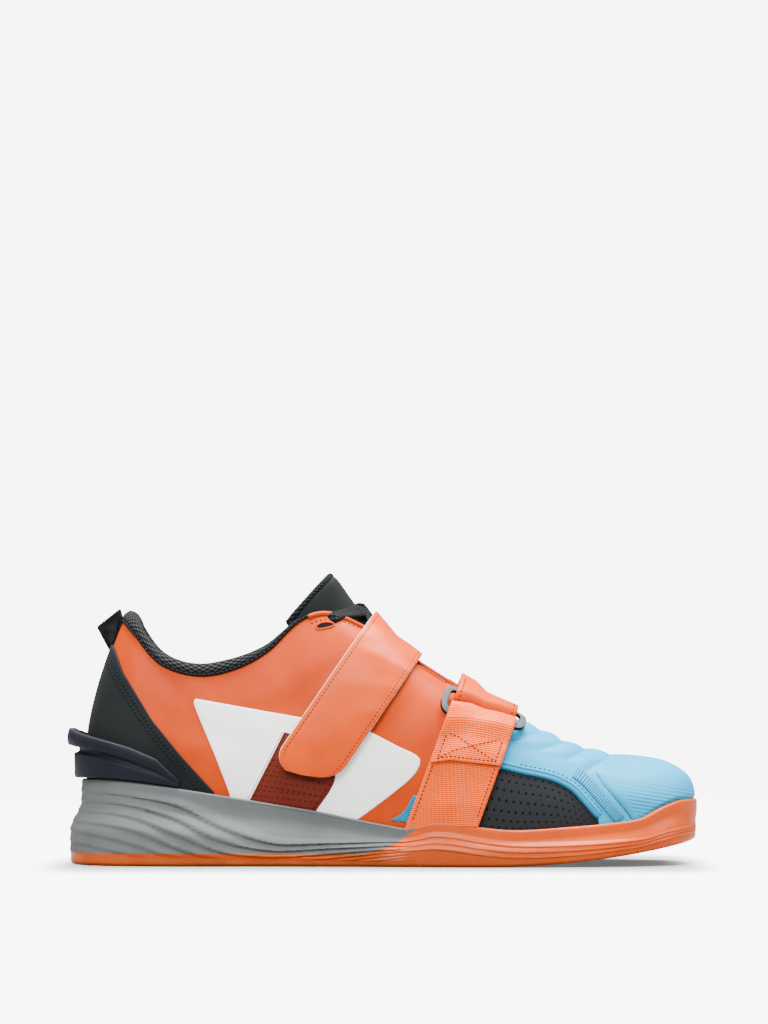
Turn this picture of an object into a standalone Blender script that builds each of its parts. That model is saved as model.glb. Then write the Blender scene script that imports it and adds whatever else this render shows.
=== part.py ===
"""Weightlifting shoe, right foot, standing empty on its sole.

Metres, +Z up, toe along +X, lateral side along -Y.  The origin is on the sole's
flat underside, halfway along the shoe.
"""
import math
from collections import namedtuple

import bmesh
import bpy
import numpy as np
from mathutils import Vector
from mathutils.bvhtree import BVHTree

# Driving sizes of the last and the sole
LENGTH = 0.300
BALL_WIDTH = 0.098
HEEL_WIDTH = 0.068
INSTEP_RISE = 0.100
TOE_SWING = 0.006
HEEL_STACK = 0.031
FORE_STACK = 0.010
TOE_SPRING = 0.012
TOE_SPRING_START = 0.64
CUP_DEPTH = 0.010
RIM_WIDTH = 0.0032
SOLE_FLARE = 0.0075
GUM_THICKNESS = 0.006
RIB_HEIGHT = 0.0009
TREAD_DEPTH = 0.0012
TREAD_WIDTH = 0.0030

# Walls and clearances
UPPER_WALL = 0.0022
GAP = 0.0003
INSOLE_THICKNESS = 0.004
OVERLAY = 0.0012
COLLAR_PAD = 0.0085
COLLAR_RISE = 0.0065
TONGUE_THICKNESS = 0.005

# Straps, ring and lace
INSTEP_STRAP_WIDTH = 0.030
FORE_STRAP_WIDTH = 0.030
WEBBING_WIDTH = 0.0315
STRAP_THICKNESS = 0.0020
STRAP_SEAT = 0.00105
STRAP_FOOT = 0.0024
RAY_STEP = 1.25
WEBBING_THICKNESS = 0.0018
LACE_WIDTH = 0.006
LACE_THICKNESS = 0.0014

STEPS = 2          # loft stations between two rows of the upper's table
LEVELS = 8         # loft levels between the feather and the top edge

# Half widths are shares of the last's width at that station, lengths are shares
# of LENGTH, and heights above the footbed are shares of INSTEP_RISE.
Section = namedtuple("Section", "x lat med top_x top_y top_z belly rise shoulder drop")
UPPER_SECTIONS = (
    Section(0.040, 0.000, 0.000, 0.087, 0.000, 0.830, 0.085, 0.29, 0.64, 0.26),
    Section(0.050, 0.221, 0.221, 0.092, 0.147, 0.822, 0.080, 0.29, 0.64, 0.26),
    Section(0.087, 0.397, 0.397, 0.110, 0.265, 0.762, 0.065, 0.30, 0.62, 0.28),
    Section(0.150, 0.485, 0.485, 0.150, 0.353, 0.630, 0.045, 0.32, 0.60, 0.32),
    Section(0.217, 0.507, 0.493, 0.207, 0.400, 0.593, 0.035, 0.36, 0.60, 0.34),
    Section(0.293, 0.513, 0.458, 0.263, 0.395, 0.655, 0.030, 0.38, 0.60, 0.32),
    Section(0.367, 0.500, 0.411, 0.317, 0.345, 0.780, 0.028, 0.40, 0.64, 0.28),
    Section(0.433, 0.492, 0.387, 0.367, 0.285, 0.958, 0.028, 0.42, 0.68, 0.22),
    Section(0.497, 0.493, 0.381, 0.413, 0.230, 1.030, 0.028, 0.44, 0.70, 0.18),
    Section(0.557, 0.501, 0.391, 0.473, 0.190, 0.985, 0.026, 0.46, 0.70, 0.15),
    Section(0.617, 0.511, 0.414, 0.543, 0.158, 0.865, 0.024, 0.50, 0.70, 0.14),
    Section(0.677, 0.513, 0.445, 0.613, 0.123, 0.733, 0.022, 0.54, 0.68, 0.12),
    Section(0.737, 0.508, 0.480, 0.662, 0.045, 0.632, 0.020, 0.58, 0.64, 0.08),
    Section(0.793, 0.497, 0.490, 0.705, 0.000, 0.545, 0.018, 0.62, 0.60, 0.05),
    Section(0.847, 0.469, 0.469, 0.772, 0.000, 0.425, 0.020, 0.66, 0.62, 0.02),
    Section(0.897, 0.418, 0.408, 0.840, 0.000, 0.352, 0.030, 0.68, 0.70, 0.01),
    Section(0.943, 0.316, 0.306, 0.880, 0.000, 0.320, 0.048, 0.68, 0.80, 0.01),
    Section(0.968, 0.172, 0.168, 0.905, 0.000, 0.298, 0.062, 0.67, 0.89, 0.01),
    Section(0.977, 0.000, 0.000, 0.920, 0.000, 0.275, 0.070, 0.66, 0.94, 0.01),
)

# ramp: how much of the heel's lift is left; cup: depth of the rim as a share of
# CUP_DEPTH; joint: height of the gum-to-foam joint as a share of GUM_THICKNESS
SoleRow = namedtuple("SoleRow", "x ramp cup flare joint")
SOLE_ROWS = (
    SoleRow(0.000, 1.03, 0.84, 1.00, 1.00),
    SoleRow(0.083, 1.02, 0.86, 1.00, 1.00),
    SoleRow(0.167, 1.00, 0.57, 0.95, 1.00),
    SoleRow(0.250, 0.86, 0.47, 0.80, 1.00),
    SoleRow(0.333, 0.65, 0.51, 0.65, 1.00),
    SoleRow(0.400, 0.48, 0.53, 0.58, 1.00),
    SoleRow(0.467, 0.30, 0.51, 0.52, 1.03),
    SoleRow(0.510, 0.20, 0.48, 0.48, 1.63),
    SoleRow(0.533, 0.14, 0.49, 0.45, 2.35),
    SoleRow(0.555, 0.09, 0.67, 0.42, 3.08),
    SoleRow(0.575, 0.05, 0.93, 0.40, 3.70),
    SoleRow(0.603, 0.02, 1.00, 0.38, 4.40),
    SoleRow(0.645, 0.00, 0.86, 0.38, 5.00),
    SoleRow(0.700, -0.01, 0.70, 0.38, 5.00),
    SoleRow(0.783, -0.02, 0.70, 0.38, 5.00),
    SoleRow(0.850, -0.02, 0.66, 0.36, 5.00),
    SoleRow(0.893, -0.03, 0.70, 0.34, 5.00),
    SoleRow(0.923, -0.04, 1.05, 0.32, 5.00),
    SoleRow(0.953, -0.05, 1.24, 0.30, 5.00),
    SoleRow(1.000, -0.07, 1.02, 0.26, 5.00),
)

# Rings up the sole's outer wall: share of the wall's height and rib push-out
WallRing = namedtuple("WallRing", "height foam gum")
WALL_RINGS = (
    WallRing(0.20, 0.0, 0.5),
    WallRing(0.28, 1.0, 1.0),
    WallRing(0.36, -0.6, 0.4),
    WallRing(0.43, 1.0, -0.6),
    WallRing(0.50, -0.6, 0.2),
    WallRing(0.57, 1.0, 0.9),
    WallRing(0.64, -0.6, 0.6),
    WallRing(0.71, 1.0, -0.3),
    WallRing(0.78, -0.6, -0.4),
    WallRing(0.85, 0.8, 0.2),
    WallRing(0.93, 0.0, 0.2),
)

# Flex grooves across the tread, with their half length as a share of BALL_WIDTH
TreadGroove = namedtuple("TreadGroove", "x half")
TREAD_GROOVES = (
    TreadGroove(0.110, 0.27),
    TreadGroove(0.165, 0.31),
    TreadGroove(0.220, 0.32),
    TreadGroove(0.590, 0.37),
    TreadGroove(0.635, 0.40),
    TreadGroove(0.680, 0.41),
)

# Centre line of the tongue: lengths, heights above the floor and half width as
# shares of LENGTH, INSTEP_RISE and BALL_WIDTH; drop is the arch's sag over its half
TongueRow = namedtuple("TongueRow", "x z half drop")
TONGUE_ROWS = (
    TongueRow(0.422, 1.375, 0.142, 1.80),
    TongueRow(0.438, 1.300, 0.142, 2.00),
    TongueRow(0.470, 1.172, 0.148, 1.80),
    TongueRow(0.515, 1.040, 0.200, 1.05),
    TongueRow(0.565, 0.912, 0.220, 0.75),
    TongueRow(0.620, 0.780, 0.215, 0.60),
    TongueRow(0.665, 0.668, 0.180, 0.45),
    TongueRow(0.697, 0.590, 0.140, 0.35),
)

# Outlines of the overlays seen from the side: lengths as shares of LENGTH and
# heights above the floor as shares of INSTEP_RISE
Spot = namedtuple("Spot", "x z")
COUNTER_EDGE = (
    Spot(0.030, 1.060),
    Spot(0.070, 1.050),
    Spot(0.078, 1.010),
    Spot(0.092, 0.905),
    Spot(0.138, 0.683),
    Spot(0.184, 0.515),
    Spot(0.236, 0.345),
)
ANCHOR_EDGE = (
    Spot(0.413, 0.560),
    Spot(0.345, 0.615),
    Spot(0.291, 0.318),
)
ANCHOR_FRONT = (
    Spot(0.394, 0.270),
    Spot(0.425, 0.410),
)
PANEL_EDGE = (
    Spot(0.612, 0.520),
    Spot(0.673, 0.462),
    Spot(0.710, 0.433),
    Spot(0.757, 0.400),
    Spot(0.788, 0.354),
    Spot(0.807, 0.297),
    Spot(0.831, 0.215),
)
TOE_EDGE = (
    Spot(0.636, 0.545),
    Spot(0.660, 0.640),
    Spot(0.694, 0.780),
)

# Straps: a point on the centre line over the instep, lean of the strap from
# upright seen from the side, and the height where it ends
INSTEP_STRAP_X = 0.527
INSTEP_STRAP_Z = 1.109
INSTEP_STRAP_LEAN = math.radians(34.2)
INSTEP_STRAP_END = 0.425
FORE_STRAP_X = 0.673
FORE_STRAP_Z = 0.870
FORE_STRAP_LEAN = math.radians(20.2)
RING_HEIGHT = 0.690
RING_LENGTH = 0.041
RING_WIDTH = 0.0145
RING_BAR = 0.0032
RING_THICKNESS = 0.0020
FREE_END = 0.040
WEBBING_TURN = 0.022

# Slot eyelets along the throat, as row numbers of the upper's table
EYELETS = (7.85, 9.2, 10.3, 11.2)
EYELET_LEVEL = 0.93

# The clip on the heel by row number: thickness of body and web and the ring's inner
# and outer stand-off as shares of CLIP_THICKNESS, heights as shares of CLIP_HEIGHT
ClipRow = namedtuple("ClipRow", "k body web ring_in ring_out body_top ring_low ring_top")
CLIP_ROWS = (
    ClipRow(0.0, 1.10, 0.50, 1.05, 2.00, 0.50, 0.66, 1.00),
    ClipRow(0.6, 1.10, 0.50, 0.95, 1.90, 0.49, 0.65, 0.95),
    ClipRow(1.2, 1.05, 0.48, 0.70, 1.60, 0.45, 0.60, 0.86),
    ClipRow(1.8, 0.95, 0.45, 0.30, 1.20, 0.38, 0.52, 0.76),
    ClipRow(2.4, 0.75, 0.42, 0.02, 0.85, 0.28, 0.41, 0.66),
    ClipRow(3.0, 0.55, 0.40, 0.02, 0.62, 0.17, 0.27, 0.50),
    ClipRow(3.5, 0.36, 0.35, 0.02, 0.38, 0.05, 0.08, 0.14),
)
CLIP_THICKNESS = 0.0043
CLIP_HEIGHT = 0.0235
PULL_TAB_DEPTH = 0.0145
PULL_TAB_TILT = math.radians(38)
PULL_TAB_THICKNESS = 0.0024

ROWS = len(UPPER_SECTIONS) - 1
STATIONS = 2 * ROWS * STEPS


def smooth(t):
    t = min(1.0, max(0.0, t))
    return t * t * (3.0 - 2.0 * t)


def table(rows, column, x):
    """Cubic reading of one column of a table of rows against its x."""
    xs = [row.x for row in rows]
    ys = [getattr(row, column) for row in rows]
    if x <= xs[0]:
        return ys[0]
    if x >= xs[-1]:
        return ys[-1]
    i = max(k for k in range(len(xs) - 1) if xs[k] <= x)

    def slope(k):
        a, b = max(k - 1, 0), min(k + 1, len(xs) - 1)
        return (ys[b] - ys[a]) / (xs[b] - xs[a])

    span = xs[i + 1] - xs[i]
    t = (x - xs[i]) / span
    return (ys[i] * (1 + 2 * t) * (1 - t) ** 2 + slope(i) * span * t * (1 - t) ** 2
            + ys[i + 1] * t * t * (3 - 2 * t) + slope(i + 1) * span * t * t * (t - 1))


def place_x(share):
    return (share - 0.5) * LENGTH


def last_width(share):
    """Width of the last: heel width at the back, ball width from the ball on."""
    return HEEL_WIDTH + (BALL_WIDTH - HEEL_WIDTH) * smooth((share - 0.25) / 0.45)


def centre_y(share):
    """The toe swings towards the big toe."""
    return TOE_SWING * max(0.0, (share - 0.6) / 0.4) ** 2


def ground(share):
    """Height of the sole's underside: flat, then the toe spring."""
    t = max(0.0, (share - TOE_SPRING_START) / (1.0 - TOE_SPRING_START))
    return TOE_SPRING * t * t


def footbed(share):
    lift = HEEL_STACK - FORE_STACK
    ramp = table(SOLE_ROWS, "ramp", share)
    return ground(share) + FORE_STACK + lift * ramp


def rim_height(share):
    return footbed(share) + CUP_DEPTH * table(SOLE_ROWS, "cup", share)


def signed_rows():
    """Rows of the closed loop: heel, lateral side, toe, medial side."""
    for index in range(2 * ROWS):
        row = index if index <= ROWS else 2 * ROWS - index
        side = 0 if index in (0, ROWS) else (-1 if index < ROWS else 1)
        yield UPPER_SECTIONS[row], side


def feather_points():
    points = []
    for row, side in signed_rows():
        half = row.lat if side < 0 else row.med
        points.append((place_x(row.x), centre_y(row.x) + side * half * last_width(row.x),
                       footbed(row.x) + GAP))
    return np.array(points)


def plan_normals(points):
    """Outward normals in plan of a closed loop that runs heel, lateral, toe, medial."""
    tangent = np.roll(points, -1, axis=0) - np.roll(points, 1, axis=0)
    normal = np.stack([tangent[:, 1], -tangent[:, 0], np.zeros(len(points))], axis=1)
    return normal / np.linalg.norm(normal, axis=1)[:, None]


def upper_controls():
    """Four control points of the wall's curve at each row of the closed loop."""
    feather = feather_points()
    normals = plan_normals(feather)
    low, high, top = [], [], []
    for (row, side), foot, normal in zip(signed_rows(), feather, normals):
        crest = np.array([place_x(row.top_x),
                          centre_y(row.top_x) + side * row.top_y * last_width(row.top_x),
                          footbed(row.x) + row.top_z * INSTEP_RISE])
        height = crest[2] - foot[2]
        up = np.array([0.0, 0.0, 1.0])
        low.append(foot + normal * row.belly * BALL_WIDTH + up * row.rise * height)
        lean = (foot - crest) * np.array([1.0, 1.0, 0.0])
        high.append(crest + lean * row.shoulder - up * row.drop * height)
        top.append(crest)
    return feather, np.array(low), np.array(high), np.array(top)


FEATHER, LOW, HIGH, TOP = upper_controls()


def around(values, k):
    """Catmull-Rom reading of a closed loop of points at row number k."""
    count = len(values)
    i = math.floor(k)
    t = k - i
    a, b, c, d = (values[(i + j) % count] for j in (-1, 0, 1, 2))
    return 0.5 * (2 * b + (c - a) * t + (2 * a - 5 * b + 4 * c - d) * t * t
                  + (3 * b - a - 3 * c + d) * t ** 3)


def crest_point(k):
    """Top edge of the wall, kept on the ridge where the two sides join."""
    point = around(TOP, k)
    side = -1.0 if (k % (2 * ROWS)) <= ROWS else 1.0
    middle = centre_y(point[0] / LENGTH + 0.5)
    half = max(0.0, side * (point[1] - middle))
    if half < GAP:
        half = 0.0
    return np.array([point[0], middle + side * half, point[2]])


def skin(k, v):
    """Point on the upper's outer face: k runs round the last, v from feather to top."""
    a, b, c, d = around(FEATHER, k), around(LOW, k), around(HIGH, k), crest_point(k)
    return (a * (1 - v) ** 3 + 3 * b * v * (1 - v) ** 2
            + 3 * c * v * v * (1 - v) + d * v ** 3)


def skin_normal(k, v):
    step = 0.02
    along = skin(k + step, v) - skin(k - step, v)
    rising = skin(k, min(1.0, v + step)) - skin(k, max(0.0, v - step))
    normal = np.cross(rising, along) * -1.0
    return normal / np.linalg.norm(normal)


def level_at(k, z):
    """The v at which the wall reaches height z."""
    low, high = 0.0, 1.0
    for _ in range(24):
        middle = (low + high) / 2
        if skin(k, middle)[2] < z:
            low = middle
        else:
            high = middle
    return (low + high) / 2


def station_rows():
    return [j / STEPS for j in range(STATIONS)]


def collection(name):
    group = bpy.data.collections.new(name)
    bpy.context.scene.collection.children.link(group)
    return group


def material(name, colour, roughness, metallic=0.0):
    made = bpy.data.materials.new(name)
    made.use_nodes = True
    shader = made.node_tree.nodes["Principled BSDF"]
    shader.inputs["Base Color"].default_value = (*colour, 1.0)
    shader.inputs["Roughness"].default_value = roughness
    shader.inputs["Metallic"].default_value = metallic
    made.diffuse_color = (*colour, 1.0)
    return made


def object_from(name, bm, group, finish=None, smooth_faces=True):
    mesh = bpy.data.meshes.new(name)
    bm.to_mesh(mesh)
    bm.free()
    if smooth_faces:
        mesh.shade_smooth()
        mesh.set_sharp_from_angle(angle=math.radians(40))
    made = bpy.data.objects.new(name, mesh)
    if finish:
        mesh.materials.append(finish)
    group.objects.link(made)
    return made


def cutter_from(name, bm, group):
    made = object_from(name, bm, group, smooth_faces=False)
    made.hide_render = True
    made.display_type = "WIRE"
    return made


def add_boolean(target, cutter, operation):
    step = target.modifiers.new(operation.title(), "BOOLEAN")
    step.operation = operation
    step.solver = "EXACT"
    step.object = cutter


def grid(bm, rows, closed):
    """Quads between successive rows of points; closed joins each row's ends."""
    verts = [[bm.verts.new(point) for point in row] for row in rows]
    width = len(rows[0])
    for lower, upper in zip(verts, verts[1:]):
        for j in range(width if closed else width - 1):
            n = (j + 1) % width
            bm.faces.new((lower[j], lower[n], upper[n], upper[j]))
    return verts


def ladder(bm, ring):
    """Closes a ring of STATIONS points by strips across the shoe."""
    half = len(ring) // 2
    for j in range(half):
        face = [ring[j], ring[j + 1], ring[-(j + 1) % len(ring)], ring[-j % len(ring)]]
        bm.faces.new(list(dict.fromkeys(face)))


def closed_loft(rings):
    """Solid through rings of points, closed across the shoe at both ends."""
    bm = bmesh.new()
    verts = grid(bm, rings, closed=True)
    ladder(bm, verts[0])
    ladder(bm, verts[-1])
    bmesh.ops.recalc_face_normals(bm, faces=bm.faces)
    return bm


def tube_loft(sections):
    """Solid through closed sections, with a flat cap at each end."""
    bm = bmesh.new()
    verts = grid(bm, sections, closed=True)
    bm.faces.new(verts[0])
    bm.faces.new(verts[-1])
    bmesh.ops.recalc_face_normals(bm, faces=bm.faces)
    return bm


def prism(outline, low_y, high_y):
    """Outline in the X-Z plane, run along Y."""
    bm = bmesh.new()
    face = bm.faces.new([bm.verts.new((x, low_y, z)) for x, z in outline])
    grown = bmesh.ops.extrude_face_region(bm, geom=[face])
    moved = [item for item in grown["geom"] if isinstance(item, bmesh.types.BMVert)]
    bmesh.ops.translate(bm, verts=moved, vec=(0.0, high_y - low_y, 0.0))
    bmesh.ops.recalc_face_normals(bm, faces=bm.faces)
    return bm


def skin_sheet(offset=0.0):
    """The upper's outer face as an open sheet, moved out along its normals."""
    bm = bmesh.new()
    rows = [[skin(k, v / (LEVELS - 1)) for k in station_rows()] for v in range(LEVELS)]
    grid(bm, rows, closed=True)
    bmesh.ops.remove_doubles(bm, verts=bm.verts, dist=GAP / 3)
    bmesh.ops.triangulate(bm, faces=bm.faces, quad_method="FIXED")
    bmesh.ops.recalc_face_normals(bm, faces=bm.faces)
    bm.normal_update()
    if sum(face.normal.x for face in bm.faces if face.calc_center_median().x > LENGTH * 0.46) < 0:
        bmesh.ops.reverse_faces(bm, faces=bm.faces)
        bm.normal_update()
    moves = [(vert, vert.normal * offset) for vert in bm.verts]
    for vert, move in moves:
        vert.co += move
    return bm


def thicken(made, thickness, side):
    step = made.modifiers.new("Wall", "SOLIDIFY")
    step.thickness = thickness
    step.offset = side
    step.use_even_offset = True
    return step


def build_upper(group, finish):
    made = object_from("upper", skin_sheet(), group, finish)
    thicken(made, UPPER_WALL, -1.0)
    return made


def sole_form():
    """Whole sole with its cup, before the gum and the foam are parted."""
    rows = station_rows()
    feet = np.array([around(FEATHER, k) for k in rows])
    normals = plan_normals(feet)
    shares = feet[:, 0] / LENGTH + 0.5
    rims = [rim_height(s) for s in shares]
    walls = np.array([skin(k, level_at(k, z)) for k, z in zip(rows, rims)])
    flare = np.array([SOLE_FLARE * table(SOLE_ROWS, "flare", s) for s in shares])
    wide = feet + normals * (flare + RIM_WIDTH)[:, None]
    narrow = walls + normals * (GAP + RIM_WIDTH)
    floor = np.array([ground(point[0] / LENGTH + 0.5) for point in wide])
    foam = [1.0 - smooth((s - 0.46) / 0.12) for s in shares]

    def ring(plan, heights):
        return [(p[0], p[1], z) for p, z in zip(plan, heights)]

    rings = [ring(wide - normals * 0.0018, floor), ring(wide, floor + 0.0018)]
    for row in WALL_RINGS:
        lean = smooth((row.height - 0.40) / 0.35)
        plan = wide * (1 - lean) + narrow * lean
        push = [RIB_HEIGHT * (row.foam * f + row.gum * 0.7 * (1 - f)) for f in foam]
        heights = floor + (np.array(rims) - floor) * row.height
        rings.append(ring(plan + normals * np.array(push)[:, None], heights))
    rings.append(ring(narrow, np.array(rims) - 0.0007))
    rings.append(ring(narrow - normals * 0.0009, rims))
    rings.append(ring(walls + normals * GAP, rims))
    beds = [footbed(s) for s in shares]
    middles = [(z + b) / 2 for z, b in zip(rims, beds)]
    halfway = np.array([skin(k, level_at(k, z)) for k, z in zip(rows, middles)])
    rings.append(ring(halfway + normals * GAP, middles))
    rings.append(ring(feet + normals * GAP, beds))
    return closed_loft(rings)


def joint_outline(shift):
    """Outline of all that lies above the joint between gum and foam."""
    front = 0.600
    shares = [row.x for row in SOLE_ROWS if 0.4 <= row.x <= front]
    joint = [(place_x(s), table(SOLE_ROWS, "joint", s) * GUM_THICKNESS + shift) for s in shares]
    top = HEEL_STACK + INSTEP_RISE
    return ([(place_x(-0.1), GUM_THICKNESS + shift)] + joint
            + [(joint[-1][0], top), (place_x(-0.1), top)])


def tread_cutter(group):
    """Shallow bars that cut the flex grooves into the flat tread."""
    bm = bmesh.new()
    for groove in TREAD_GROOVES:
        grown = bmesh.ops.create_cube(bm, size=1.0)
        size = (TREAD_WIDTH, 2 * groove.half * BALL_WIDTH, 2 * TREAD_DEPTH)
        bmesh.ops.scale(bm, verts=grown["verts"], vec=size)
        bmesh.ops.translate(bm, verts=grown["verts"], vec=(place_x(groove.x), 0.0, 0.0))
    return cutter_from("tread_grooves", bm, group)


def build_sole(group, cutters, gum, foam):
    side = BALL_WIDTH
    above = cutter_from("foam_space", prism(joint_outline(GAP / 2), -side, side), cutters)
    below = cutter_from("gum_space", prism(joint_outline(-GAP / 2), -side, side), cutters)
    outsole = object_from("outsole", sole_form(), group, gum)
    add_boolean(outsole, below, "DIFFERENCE")
    add_boolean(outsole, tread_cutter(cutters), "DIFFERENCE")
    midsole = object_from("midsole", sole_form(), group, foam)
    add_boolean(midsole, above, "INTERSECT")
    return outsole, midsole


def build_insole(group, finish):
    rows = station_rows()
    feet = np.array([around(FEATHER, k) for k in rows])
    normals = plan_normals(feet)
    inset = UPPER_WALL + 3 * GAP
    low = feet - normals * inset
    high = np.array([skin(k, level_at(k, point[2] + INSOLE_THICKNESS))
                     for k, point in zip(rows, feet)]) - normals * inset
    high[:, 2] = low[:, 2] + INSOLE_THICKNESS
    return object_from("insole", closed_loft([low, high]), group, finish)


def build_collar(group, finish):
    """Padded roll that wraps the top edge and runs down inside the upper."""
    reach = 8.0
    sections = []
    count = 2 * int(reach * STEPS) + 1
    for j in range(count):
        k = -reach + 2 * reach * j / (count - 1)
        full = 0.28 + 0.72 * (1 - smooth((abs(k) - 4.5) / (reach - 5.0)))
        top = skin(k, 1.0)
        rise = top - skin(k, 0.97)
        rise = rise / np.linalg.norm(rise)
        out = skin_normal(k, 0.98)
        pad, proud = COLLAR_PAD * full, COLLAR_RISE * full
        inner = UPPER_WALL + 3 * GAP

        def inside(v, depth):
            level = 1.0 - (1.0 - v) * full
            return skin(k, level) - skin_normal(k, level) * depth

        sections.append([
            top + rise * 2 * GAP + out * 0.0002,
            top + rise * proud * 0.45 + out * 0.0010,
            top + rise * proud * 0.90 - out * 0.0006,
            top + rise * proud - out * pad * 0.40,
            top + rise * proud * 0.65 - out * pad * 0.85,
            top - out * (pad + inner * 0.5),
            inside(0.88, pad + inner * 0.6),
            inside(0.74, pad * 0.6 + inner),
            inside(0.66, inner + 0.0008),
            inside(0.68, inner),
            inside(0.84, inner),
            top + rise * 2 * GAP - out * inner,
        ])
    return object_from("collar_padding", tube_loft(sections), group, finish)


def tree_of(made):
    """Ray-cast tree of an object as its modifiers leave it."""
    bpy.context.view_layer.update()
    return BVHTree.FromObject(made, bpy.context.evaluated_depsgraph_get())


def tucked(point, axis, trees, margin):
    """Pulls a point in towards an axis point until it lies inside the trees."""
    path = Vector(point) - Vector(axis)
    reach = path.length
    direction = path.normalized()
    for tree in trees:
        hit = tree.ray_cast(Vector(axis), direction, reach + margin)
        if hit[0] is not None:
            reach = min(reach, hit[3] - margin)
    return np.array(Vector(axis) + direction * reach)


def build_tongue(group, finish, around_it):
    """Arched padded sheet from under the vamp up past the collar."""
    trees = [tree_of(item) for item in around_it]
    rows = [TONGUE_ROWS[0]]
    for a, b in zip(TONGUE_ROWS, TONGUE_ROWS[1:]):
        middle = (a.x + b.x) / 2
        values = (table(TONGUE_ROWS, name, middle) for name in ("z", "half", "drop"))
        rows += [TongueRow(middle, *values), b]
    line = [np.array([place_x(r.x), centre_y(r.x), r.z * INSTEP_RISE]) for r in rows]
    arch = [math.radians(80.0) * j / 5 for j in range(-5, 6)]
    sections = []
    for i, row in enumerate(rows):
        along = line[min(i + 1, len(rows) - 1)] - line[max(i - 1, 0)]
        along = along / np.linalg.norm(along)
        out = np.array([-along[2], 0.0, along[0]])
        half = row.half * BALL_WIDTH
        axis = line[i] - out * half * 1.3
        face, back = [], []
        for angle in arch:
            side = np.array([0.0, half * math.sin(angle), 0.0])
            sag = out * row.drop * half * (1.0 - math.cos(angle))
            point = tucked(line[i] + side - sag, axis, trees, 3 * GAP)
            inward = (axis - point) / np.linalg.norm(axis - point)
            face.append(point)
            back.append(point + inward * TONGUE_THICKNESS * (0.45 + 0.55 * math.cos(angle)))
        sections.append(face + back[::-1])
    return object_from("tongue", tube_loft(sections), group, finish)


def overlay(name, outline, group, cutters, finish, height=OVERLAY):
    """A piece of the upper's own skin, cut to an outline seen from the side."""
    made = object_from(name, skin_sheet(GAP), group, finish)
    thicken(made, height, 1.0)
    low, high = outline_sides(name)
    space = cutter_from(name + "_outline", prism(outline, low, high), cutters)
    add_boolean(made, space, "INTERSECT")
    return made


def outline_sides(name):
    """Which side of the shoe an overlay's outline is cut from."""
    if name.endswith("lateral") or name == "strap_anchor":
        return -BALL_WIDTH, 0.0
    if name.endswith("medial"):
        return 0.0, BALL_WIDTH
    return -BALL_WIDTH, BALL_WIDTH


def spots(rows):
    return [(place_x(row.x), row.z * INSTEP_RISE) for row in rows]


def rim_line(first, last, clearance):
    """The sole's rim from one share of the length to another, with clearance."""
    count = 2 + int(abs(last - first) * 40)
    shares = [first + (last - first) * j / (count - 1) for j in range(count)]
    return [(place_x(s), rim_height(s) + clearance) for s in shares]


def build_overlays(group, cutters, slate, anchor, blue, mesh):
    clear = 3 * GAP
    counter = spots(COUNTER_EDGE) + rim_line(COUNTER_EDGE[-1].x, 0.0, clear)
    counter += [(place_x(-0.02), counter[-1][1]), (place_x(-0.02), counter[0][1])]
    made = [overlay("heel_counter", counter, group, cutters, slate)]
    base = spots(ANCHOR_EDGE) + rim_line(ANCHOR_EDGE[-1].x, ANCHOR_FRONT[0].x, clear)
    base += spots(ANCHOR_FRONT)
    made.append(overlay("strap_anchor", base, group, cutters, anchor))
    panel = spots(PANEL_EDGE) + rim_line(PANEL_EDGE[-1].x, PANEL_EDGE[0].x, clear)
    for side in ("lateral", "medial"):
        made.append(overlay("side_panel_" + side, panel, group, cutters, mesh, OVERLAY / 2))
    edge = [(x + GAP, z + 2 * GAP) for x, z in spots(PANEL_EDGE)]
    front = rim_line(PANEL_EDGE[-1].x + 0.004, 1.0, clear)
    toe = spots(TOE_EDGE)[::-1] + edge[1:] + front
    toe += [(place_x(1.03), front[-1][1]), (place_x(1.03), toe[0][1])]
    made.append(overlay("toe_overlay", toe, group, cutters, blue))
    return made


def wall_point(k, z, offset, normals):
    """Point at height z on the wall, moved straight out in plan."""
    count = len(normals)
    n = around(normals, k % count)
    return skin(k, level_at(k, z)) + n / np.linalg.norm(n) * offset


def clip_value(name, k):
    """One column of the clip's table at row number k."""
    return float(np.interp(k, [row.k for row in CLIP_ROWS],
                           [getattr(row, name) for row in CLIP_ROWS]))


def build_clip(group, finish):
    """Moulded clip on the heel, its ring standing off behind."""
    normals = plan_normals(FEATHER)
    seat = 3 * GAP + OVERLAY
    unit, tall = CLIP_THICKNESS, CLIP_HEIGHT
    fields = ("body", "web", "ring_in", "ring_out", "body_top", "ring_low", "ring_top")
    reach = CLIP_ROWS[-1].k
    count = 2 * int(reach * STEPS) + 1
    sections = []
    for j in range(count):
        k = -reach + 2 * reach * j / (count - 1)
        r = {name: clip_value(name, abs(k)) for name in fields}
        share = skin(k, 0.0)[0] / LENGTH + 0.5
        foot = rim_height(share) + 2 * GAP

        def at(height, offset):
            return wall_point(k, foot + height * tall, seat + offset * unit, normals)

        sections.append([
            at(0.0, 0.0), at(0.0, r["body"]), at(r["body_top"], r["body"] * 0.95),
            at(r["body_top"] + 0.03, r["web"]), at(r["ring_low"] - 0.02, r["web"]),
            at(r["ring_low"], r["ring_out"] * 0.9), at((r["ring_low"] + r["ring_top"]) / 2, r["ring_out"]),
            at(r["ring_top"], r["ring_out"] * 0.95), at(r["ring_top"], r["ring_in"]),
            at(r["ring_low"] + 0.05, r["ring_in"]), at(r["ring_low"] + 0.02, 0.0),
        ])
    return object_from("heel_clip", tube_loft(sections), group, finish)


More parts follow.
